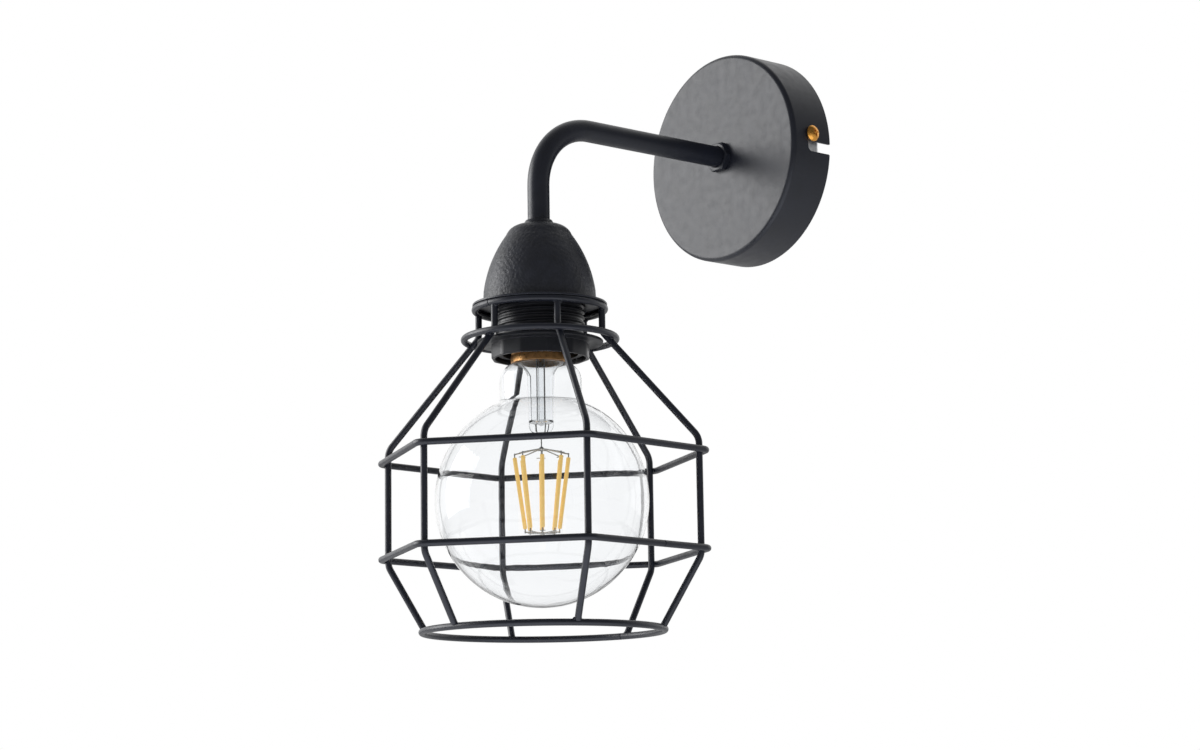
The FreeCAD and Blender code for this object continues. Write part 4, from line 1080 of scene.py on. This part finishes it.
def second_ring_place(cage):
    """Height of the second ring, which lies on the slanting stretches of the rods."""
    slant = math.atan2(cage.radius - cage.neck, cage.neck_bend - cage.shoulder)
    pitch = 2 * cage.rod - cage.overlap
    along = (cage.second_ring - cage.neck - pitch * math.cos(slant)) / math.sin(slant)
    return cage.neck_bend - along * math.cos(slant) + pitch * math.sin(slant), slant


def round_ring(bm, cage, radius, z, seam):
    """Ring bent from one rod; its ends meet at a seam."""
    gap = cage.seam / radius
    start_turn = math.radians(seam) + gap / 2
    along = Vector((-math.sin(start_turn), math.cos(start_turn), 0))
    section = circle(bm, lamp_point(radius, start_turn, z), along, cage.rod, ROD_SIDES)
    last = bent(bm, section, LAMP_AXIS + UP * z, UP, 2 * math.pi - gap, 128)
    for loop in (section, last):
        bmesh.ops.contextual_create(bm, geom=loop)
    softened(bm, section + last, 0.25 * MM)


def hex_ring(bm, cage, z, side, share):
    """Six-sided ring round the rods; its ends meet part of the way along one side."""
    distance = cage.radius + 2 * cage.rod - cage.overlap
    distance += cage.hex_corner * (1 / math.cos(math.pi / 6) - 1)
    corners = [lamp_point(distance, rod_turn(cage, k), z) for k in range(6)]
    first, second = corners[side], corners[(side + 1) % 6]
    along = (second - first).normalized()
    seam = first + (second - first) * share
    route = [seam + along * cage.seam / 2] + [corners[(side + 1 + k) % 6] for k in range(6)]
    route.append(seam - along * cage.seam / 2)
    rod(bm, route, [cage.hex_corner] * 6, cage.rod, ROD_SIDES, 0.25 * MM, 12)


def beads(bm, cage, places, source):
    """Small lumps of weld on both sides of each place where a rod meets a ring."""
    for radius, z in places:
        for k in range(6):
            angle = rod_turn(cage, k)
            side_on = Vector((-math.sin(angle), math.cos(angle), 0))
            for side in (-1, 1):
                size = source.uniform(0.75, 1.05) * MM
                at = lamp_point(radius, angle, z + source.uniform(-0.3, 0.3) * MM)
                at += side_on * side * source.uniform(0.9, 1.25) * MM
                place = Matrix.Translation(at) @ Matrix.Rotation(angle, 4, "Z")
                place = place @ Matrix.Diagonal((0.8, 1.15, source.uniform(0.8, 1.2), 1.0))
                lump = bmesh.ops.create_icosphere(bm, subdivisions=2, radius=size, matrix=place)
                for vert in lump["verts"]:
                    vert.co += (vert.co - at) * source.uniform(-0.09, 0.09)


class CAGELIGHT_OT_cage_rings(Operator):
    """Bend the five rings of the cage and press its top plate"""
    bl_idname = "cage_light.cage_rings"
    bl_label = "Cage rings and plate"

    def execute(self, context):
        cage = context.scene.cage_light.cage
        source = random.Random(11)
        second_z, slant = second_ring_place(cage)
        half_pitch = cage.rod - cage.overlap / 2
        hex_contact = cage.radius + half_pitch
        second_contact = (cage.second_ring - half_pitch * math.cos(slant),
                          second_z - half_pitch * math.sin(slant))
        rings = [("top", 272, cage.top_ring, cage.top_ring_height,
                  (cage.top_ring - 0.3 * MM, cage.top_ring_height - 1.3 * MM)),
                 ("second", 75, cage.second_ring, second_z, second_contact),
                 ("mouth", 99, cage.mouth_radius, cage.mouth,
                  (cage.mouth_radius + 0.5 * MM, cage.mouth + 1.2 * MM))]
        for name, seam, radius, z, contact in rings:
            bm = bmesh.new()
            round_ring(bm, cage, radius, z, seam)
            beads(bm, cage, [contact], source)
            finished(bm, name + "_hoop", "cage", "black_rod", ["cage_" + name + "_ring"])
        for name, side, share, z in (("upper", 3, 0.34, cage.upper_hex), ("lower", 5, 0.6, cage.lower_hex)):
            bm = bmesh.new()
            hex_ring(bm, cage, z, side, share)
            beads(bm, cage, [(hex_contact, z)], source)
            finished(bm, name + "_hexagon", "cage", "black_rod", ["cage_" + name + "_hex_ring"])
        low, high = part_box("cage_top_plate")
        edge = 0.3 * MM
        outline = rounded([(cage.plate_bore, low.z, edge), (cage.plate, low.z, edge),
                           (cage.plate, high.z, edge), (cage.plate_bore, high.z, edge)], 3)
        bm = bmesh.new()
        turned(bm, outline)
        finished(bm, "cage_plate", "cage", "black_rod", ["cage_top_plate"])
        return {"FINISHED"}


class CAGELIGHT_OT_cage_rods(Operator):
    """Bend the six upright rods of the cage"""
    bl_idname = "cage_light.cage_rods"
    bl_label = "Cage rods"

    def execute(self, context):
        cage = context.scene.cage_light.cage
        lean = math.atan2(cage.radius - cage.mouth_radius, cage.hip - cage.mouth)
        above = 1.2 * MM
        stops = [(cage.neck, cage.neck_top), (cage.neck, cage.neck_bend), (cage.radius, cage.shoulder),
                 (cage.radius, cage.hip),
                 (cage.mouth_radius + above * math.sin(lean), cage.mouth + above * math.cos(lean))]
        for k in range(6):
            route = [lamp_point(radius, rod_turn(cage, k), z) for radius, z in stops]
            bm = bmesh.new()
            rod(bm, route, [5 * MM, 8 * MM, 8 * MM], cage.rod, ROD_SIDES, 0.15 * MM, 10)
            finished(bm, "upright_" + str(k + 1), "cage", "black_rod", ["cage_rod_" + str(k + 1)])
        return {"FINISHED"}


# ---- the bulb ----------------------------------------------------------------------------------------
def glass_side(bulb, inset, steps):
    """Points of the glass from the throat to the bottom, drawn in by a wall."""
    radius = bulb.globe - inset
    neck = bulb.neck - inset
    throat = bulb.throat - inset
    meet_r = neck + 1.9 * MM
    meet_z = bulb.centre + math.sqrt(radius ** 2 - meet_r ** 2)
    side_turn = math.radians(10)
    points = [(throat, -108.0 * MM), (throat, -111.5 * MM)]
    points += arc(points[-1], (neck - 1.6 * MM, -114.3 * MM), (neck, bulb.neck_top), 12)
    points += [(neck, bulb.neck_top + (meet_z - bulb.neck_top) * share) for share in (0.3, 0.6)]
    points.append((neck, meet_z + 2.2 * MM))
    points += arc(points[-1], (neck + 0.5 * MM, meet_z + 0.7 * MM), (meet_r, meet_z), 8)
    side = (radius * math.cos(side_turn), bulb.centre + radius * math.sin(side_turn))
    points += arc(points[-1], side, (0.0, bulb.centre - radius), steps)
    return points


class CAGELIGHT_OT_bulb_glass(Operator):
    """Blow the clear globe with its neck"""
    bl_idname = "cage_light.bulb_glass"
    bl_label = "Bulb glass"

    def execute(self, context):
        bulb = context.scene.cage_light.bulb
        outside = glass_side(bulb, 0.0, 72)
        inside = glass_side(bulb, bulb.glass, 72)
        bm = bmesh.new()
        turned(bm, list(reversed(inside)) + outside, False, sides=160)
        finished(bm, "globe_glass", "bulb", "clear_glass", ["bulb_glass"])
        return {"FINISHED"}


class CAGELIGHT_OT_bulb_cap(Operator):
    """Roll the screw cap and make its insulator and tip"""
    bl_idname = "cage_light.bulb_cap"
    bl_label = "Bulb cap"

    def execute(self, context):
        bulb = context.scene.cage_light.bulb
        middle = (bulb.crest + bulb.root) / 2
        swing = (bulb.crest - bulb.root) / 2
        sheet = bulb.root - 0.3 * MM            # inside of the cap
        steps = 12
        form = [(middle + swing * math.cos(2 * math.pi * k / steps), bulb.pitch * k / steps)
                for k in range(steps)]
        thread_low = -107.6 * MM
        bm = bmesh.new()
        threaded(bm, form, bulb.pitch, thread_low, bulb.cap_top - 0.8 * MM, sheet)
        shoulder = rounded([(sheet, bulb.cap_top - 0.9 * MM),
                            (bulb.root + 0.15 * MM, bulb.cap_top - 0.9 * MM),
                            (bulb.root, bulb.cap_top, 0.5 * MM), (10.0 * MM, bulb.cap_top),
                            (10.0 * MM, bulb.cap_top - 0.3 * MM), (sheet, bulb.cap_top - 0.3 * MM)])
        turned(bm, shoulder, sides=96)
        skirt = rounded([(sheet, thread_low + 0.02 * MM), (middle, thread_low + 0.02 * MM),
                         (bulb.crest + 0.1 * MM, thread_low - 0.3 * MM, 0.2 * MM),
                         (bulb.crest + 0.1 * MM, bulb.cap_bottom, 0.12 * MM),
                         (sheet, bulb.cap_bottom, 0.12 * MM)])
        turned(bm, skirt, sides=96)
        finished(bm, "screw_cap", "bulb", "bulb_brass", ["bulb_cap"])
        top = bulb.cap_top / MM
        tip_low = bulb.tip / MM - 1.4
        insulator = scaled([(0.0, top - 1.5), (9.9, top - 1.5), (9.9, top), (9.6, top + 0.6),
                            (5.0, tip_low), (0.0, tip_low)])
        bm = bmesh.new()
        turned(bm, [insulator[0]] + rounded(insulator[1:5]) + [insulator[5]], False, sides=64)
        finished(bm, "cap_glass", "bulb", "black_glass", ["bulb_cap_insulator"], bevel=0.15 * MM)
        tip = scaled([(0.0, tip_low), (4.6, tip_low), (4.6, tip_low + 0.8)])
        tip += arc(tip[-1], (2.3 * MM, bulb.tip - 0.155 * MM), (0.0, bulb.tip), 8)
        bm = bmesh.new()
        turned(bm, tip, False, sides=48)
        finished(bm, "tip_button", "bulb_lift", "bulb_brass", ["bulb_tip_contact"], bevel=0.1 * MM)
        return {"FINISHED"}


class CAGELIGHT_OT_bulb_stem(Operator):
    """Draw the glass stem with its flare, its exhaust tube and the two lead wires"""
    bl_idname = "cage_light.bulb_stem"
    bl_label = "Bulb stem"

    def execute(self, context):
        # (radius, height) in millimetres, from the flare down to the press
        outside = [(11.0, -111.6)]
        outside += arc(outside[-1], (7.6, -113.6), (6.0, -117.5), 10)
        outside += [(5.8, -125.0), (5.6, -133.0), (5.5, -138.5)]
        outside += arc(outside[-1], (5.0, -141.2), (3.6, -142.6), 6) + [(0.0, -142.6)]
        inside = [(10.2, -111.6)]
        inside += arc(inside[-1], (6.9, -113.9), (5.3, -117.5), 10) + [(5.1, -125.0), (4.8, -137.1)]
        inside += arc(inside[-1], (3.4, -138.3), (1.6, -138.7), 4)
        exhaust = [(1.5, -138.1), (1.5, -98.0), (1.0, -98.0), (1.0, -138.9), (0.0, -139.3)]
        bm = bmesh.new()
        turned(bm, scaled(list(reversed(outside)) + inside + exhaust), False, sides=72)
        finished(bm, "stem_glass", "bulb", "clear_glass", ["bulb_stem"])
        bm = bmesh.new()
        for side in (-1, 1):
            ends = [lamp_point(side * 2.6 * MM, 0.0, z * MM) for z in (-138.4, -94.0)]
            rod(bm, ends, [], 0.35 * MM, 12, 0.05 * MM)
            pressed = lamp_point(side * 2.4 * MM, 0.0, -142.0 * MM)
            rod(bm, [pressed, ends[0]], [], 0.28 * MM, 12)
        finished(bm, "lead_pair", "bulb", "support_wire", ["bulb_lead_wires"])
        return {"FINISHED"}


def filament_end(bulb, top, k):
    """Upper or lower end of filament k."""
    angle = bulb.filament_turn + 2 * math.pi / bulb.filaments * k
    if top:
        return lamp_point(bulb.filament_top, angle, bulb.filament_top_height)
    return lamp_point(bulb.filament_foot, angle, bulb.filament_foot_height)


class CAGELIGHT_OT_filaments(Operator):
    """Hang the filaments on their wire stars"""
    bl_idname = "cage_light.filaments"
    bl_label = "Filaments and supports"

    def execute(self, context):
        bulb = context.scene.cage_light.bulb
        wire = 0.3 * MM
        thin = 0.2 * MM
        star_top = LAMP_AXIS - UP * 149.5 * MM
        star_foot = LAMP_AXIS + UP * (bulb.filament_foot_height - 2.0 * MM)
        gel = bmesh.new()
        frame_wires = bmesh.new()
        for k in range(bulb.filaments):
            upper = filament_end(bulb, True, k)
            lower = filament_end(bulb, False, k)
            rod(gel, [upper, lower], [], bulb.filament, 20, 0.35 * MM)
            outward = (upper - LAMP_AXIS).xy.normalized().to_3d()
            across = UP.cross(outward)
            knee = upper + UP * 1.4 * MM + outward * 0.3 * MM
            heel = lower - UP * 1.4 * MM + outward * 0.3 * MM
            rod(frame_wires, [star_top, knee], [], wire, 10)
            rod(frame_wires, [upper + UP * 1.9 * MM, upper - UP * 0.2 * MM], [], wire, 10)
            rod(frame_wires, [star_foot, heel], [], wire, 10)
            rod(frame_wires, [lower - UP * 1.9 * MM, lower + UP * 0.2 * MM], [], wire, 10)
            for at, reach in ((upper + UP * 1.4 * MM, 2.0 * MM), (lower - UP * 1.4 * MM, 1.2 * MM)):
                rod(frame_wires, [at - across * reach, at + across * reach], [], thin, 8)
        finished(gel, "filament_rods", "bulb", "yellow_filament", ["bulb_filaments"])
        rod(frame_wires, [LAMP_AXIS - UP * 142.6 * MM, star_foot - UP * 0.8 * MM], [], wire, 12)
        for hub in (star_top, star_foot):
            profile = [(0.0, -0.8 * MM)] + arc((0.0, -0.8 * MM), (1.1 * MM, 0.0), (0.0, 0.8 * MM), 10)
            turned(frame_wires, profile, False, hub, UP, RIGHT, 20)
        finished(frame_wires, "filament_frame", "bulb", "support_wire", ["bulb_supports"])
        return {"FINISHED"}


# ---- camera, light and floor -------------------------------------------------------------------------
PHOTO_WIDTH = 1200              # the image that the camera's place is worked out from
PHOTO_HEIGHT = 750
SENSOR_WIDTH = 36.0
AIM = Vector((0, LAMP_AXIS.y, -0.150))      # a point on the lamp's axis, in the middle of the upper cage
AIM_PIXEL = (541.5, 449.6)      # where that point stands in the image


def camera_matrix(stage):
    """Place of a camera that sees the aim at its pixel, with the line of sight kept parallel."""
    back = Vector((math.sin(stage.azimuth) * math.cos(stage.elevation),
                   -math.cos(stage.azimuth) * math.cos(stage.elevation), math.sin(stage.elevation)))
    right = (-back).cross(UP).normalized()
    up = right.cross(-back)
    rolled_right = right * math.cos(stage.roll) + up * math.sin(stage.roll)
    rolled_up = up * math.cos(stage.roll) - right * math.sin(stage.roll)
    focal = stage.lens / SENSOR_WIDTH * PHOTO_WIDTH
    across = (AIM_PIXEL[0] - PHOTO_WIDTH / 2) / focal
    upward = -(AIM_PIXEL[1] - PHOTO_HEIGHT / 2) / focal
    place = AIM - (-back + rolled_right * across + rolled_up * upward) * stage.distance
    matrix = Matrix((rolled_right, rolled_up, back)).transposed().to_4x4()
    matrix.translation = place
    return matrix


def softbox(name, at, towards, width, height, brightness, colour):
    """Rectangular lamp whose face has a given brightness."""
    lamp = bpy.data.lights.new(name, "AREA")
    lamp.shape = "RECTANGLE"
    lamp.size = width
    lamp.size_y = height
    lamp.energy = brightness * math.pi * width * height
    lamp.color = colour
    placed = bpy.data.objects.new(name, lamp)
    placed.visible_transmission = False         # the glass shows the backdrop, not the lamps
    placed.matrix_world = Matrix.Translation(at) @ (Vector(towards) - Vector(at)).to_track_quat(
        "-Z", "Y").to_matrix().to_4x4()
    bpy.context.scene.collection.objects.link(placed)


def white_surroundings(stage):
    """White backdrop for camera, gloss and glass; softer light, and a dim room behind the camera."""
    world = bpy.data.worlds.new("surroundings")
    bpy.context.scene.world = world
    world.use_nodes = True
    nodes = world.node_tree.nodes
    links = world.node_tree.links
    nodes.clear()

    def higher(first, second):
        """The larger of two values."""
        node = nodes.new("ShaderNodeMath")
        node.operation = "MAXIMUM"
        links.new(first, node.inputs[0])
        links.new(second, node.inputs[1])
        return node.outputs[0]

    def background():
        """Plain white background."""
        node = nodes.new("ShaderNodeBackground")
        node.inputs["Color"].default_value = (1.0, 1.0, 1.0, 1.0)
        return node

    path = nodes.new("ShaderNodeLightPath").outputs
    seen = higher(path["Is Camera Ray"], path["Is Glossy Ray"])
    either = higher(seen, path["Is Transmission Ray"])
    soft = background()
    soft.inputs["Strength"].default_value = stage.ambient
    place = nodes.new("ShaderNodeTexCoord")
    ahead = nodes.new("ShaderNodeVectorMath")
    ahead.operation = "DOT_PRODUCT"
    ahead.inputs[1].default_value = (-math.sin(stage.azimuth), math.cos(stage.azimuth), 0.0)
    links.new(place.outputs["Generated"], ahead.inputs[0])
    depth = nodes.new("ShaderNodeMapRange")
    depth.interpolation_type = "SMOOTHSTEP"
    spread = {"From Min": -0.15, "From Max": 0.55, "To Min": stage.room, "To Max": 1.0}
    for socket, value in spread.items():
        depth.inputs[socket].default_value = value
    links.new(ahead.outputs["Value"], depth.inputs["Value"])
    white = background()
    links.new(higher(path["Is Camera Ray"], depth.outputs["Result"]), white.inputs["Strength"])
    mix = nodes.new("ShaderNodeMixShader")
    for socket, source in zip(mix.inputs, (either, soft.outputs[0], white.outputs[0])):
        links.new(source, socket)
    output = nodes.new("ShaderNodeOutputWorld")
    links.new(mix.outputs[0], output.inputs["Surface"])


class CAGELIGHT_OT_stage(Operator):
    """Set up the camera, the floor and the studio light"""
    bl_idname = "cage_light.stage"
    bl_label = "Stage"

    def execute(self, context):
        stage = context.scene.cage_light.stage
        data = bpy.data.cameras.new("camera")
        data.sensor_width = SENSOR_WIDTH
        data.lens = stage.lens
        data.clip_start = 0.01
        camera = bpy.data.objects.new("camera", data)
        camera.matrix_world = camera_matrix(stage)
        context.scene.collection.objects.link(camera)
        context.scene.camera = camera

        bm = bmesh.new()
        bmesh.ops.create_grid(bm, x_segments=1, y_segments=1, size=12.0,
                              matrix=Matrix.Translation((0, 0, stage.floor)))
        floor = loose_object(bm, "floor")
        pale = Finish("pale_floor", (0.86, 0.86, 0.86), 0.8, specular=0.2)
        pale.mottled(0.4, 0.99, 1.01)
        floor.data.materials.append(pale.material)

        white_surroundings(stage)
        mirrored = Vector((-math.sin(stage.azimuth), -math.cos(stage.azimuth), -math.tan(stage.elevation)))
        rose_face = Vector((0, -0.024, 0))
        softbox("key", rose_face + mirrored.normalized() * 1.6, rose_face, 1.2, 1.2, stage.key,
                (1.0, 1.0, 1.0))
        softbox("low_cool", Vector((0.1, -0.2, stage.floor + 0.02)), Vector((0, -0.1, 0)), 1.4, 1.4,
                stage.low, (0.82, 0.86, 1.0))
        context.scene.view_settings.view_transform = "Standard"
        return {"FINISHED"}


# ---- the panel and the run ---------------------------------------------------------------------------
BUILD_ORDER = ("finishes", "stage", "strap", "side_screws", "rose", "arm", "nuts", "terminal_block",
               "wires", "dome", "holder", "shade_ring", "cage_rings", "cage_rods", "bulb_glass",
               "bulb_cap", "bulb_stem", "filaments")


class CAGELIGHT_PT_panel(Panel):
    """Sizes, colours and the steps that build the light"""
    bl_idname = "CAGELIGHT_PT_panel"
    bl_label = "Cage wall light"
    bl_space_type = "VIEW_3D"
    bl_region_type = "UI"
    bl_category = "Cage Light"

    def draw(self, context):
        settings = context.scene.cage_light
        for name in ("rose", "arm", "holder", "cage", "bulb", "colours", "stage"):
            group = getattr(settings, name)
            section = self.layout.box()
            section.label(text=name.capitalize())
            for key in group.bl_rna.properties.keys():
                if key not in ("rna_type", "name"):
                    section.prop(group, key)
        for step in BUILD_ORDER:
            self.layout.operator("cage_light." + step)


CLASSES = (RoseSizes, ArmSizes, HolderSizes, CageSizes, BulbSizes, Colours, StageSettings,
           CageLightSettings, CAGELIGHT_OT_finishes, CAGELIGHT_OT_stage, CAGELIGHT_OT_strap,
           CAGELIGHT_OT_side_screws, CAGELIGHT_OT_rose, CAGELIGHT_OT_arm, CAGELIGHT_OT_nuts,
           CAGELIGHT_OT_terminal_block, CAGELIGHT_OT_wires, CAGELIGHT_OT_dome, CAGELIGHT_OT_holder,
           CAGELIGHT_OT_shade_ring, CAGELIGHT_OT_cage_rings, CAGELIGHT_OT_cage_rods,
           CAGELIGHT_OT_bulb_glass, CAGELIGHT_OT_bulb_cap, CAGELIGHT_OT_bulb_stem,
           CAGELIGHT_OT_filaments, CAGELIGHT_PT_panel)


def register():
    for item in CLASSES:
        bpy.utils.register_class(item)
    bpy.types.Scene.cage_light = PointerProperty(type=CageLightSettings)


def unregister():
    del bpy.types.Scene.cage_light
    for item in reversed(CLASSES):
        bpy.utils.unregister_class(item)


def main():
    register()
    for step in BUILD_ORDER:
        getattr(bpy.ops.cage_light, step)()


if __name__ == "__main__":
    main()
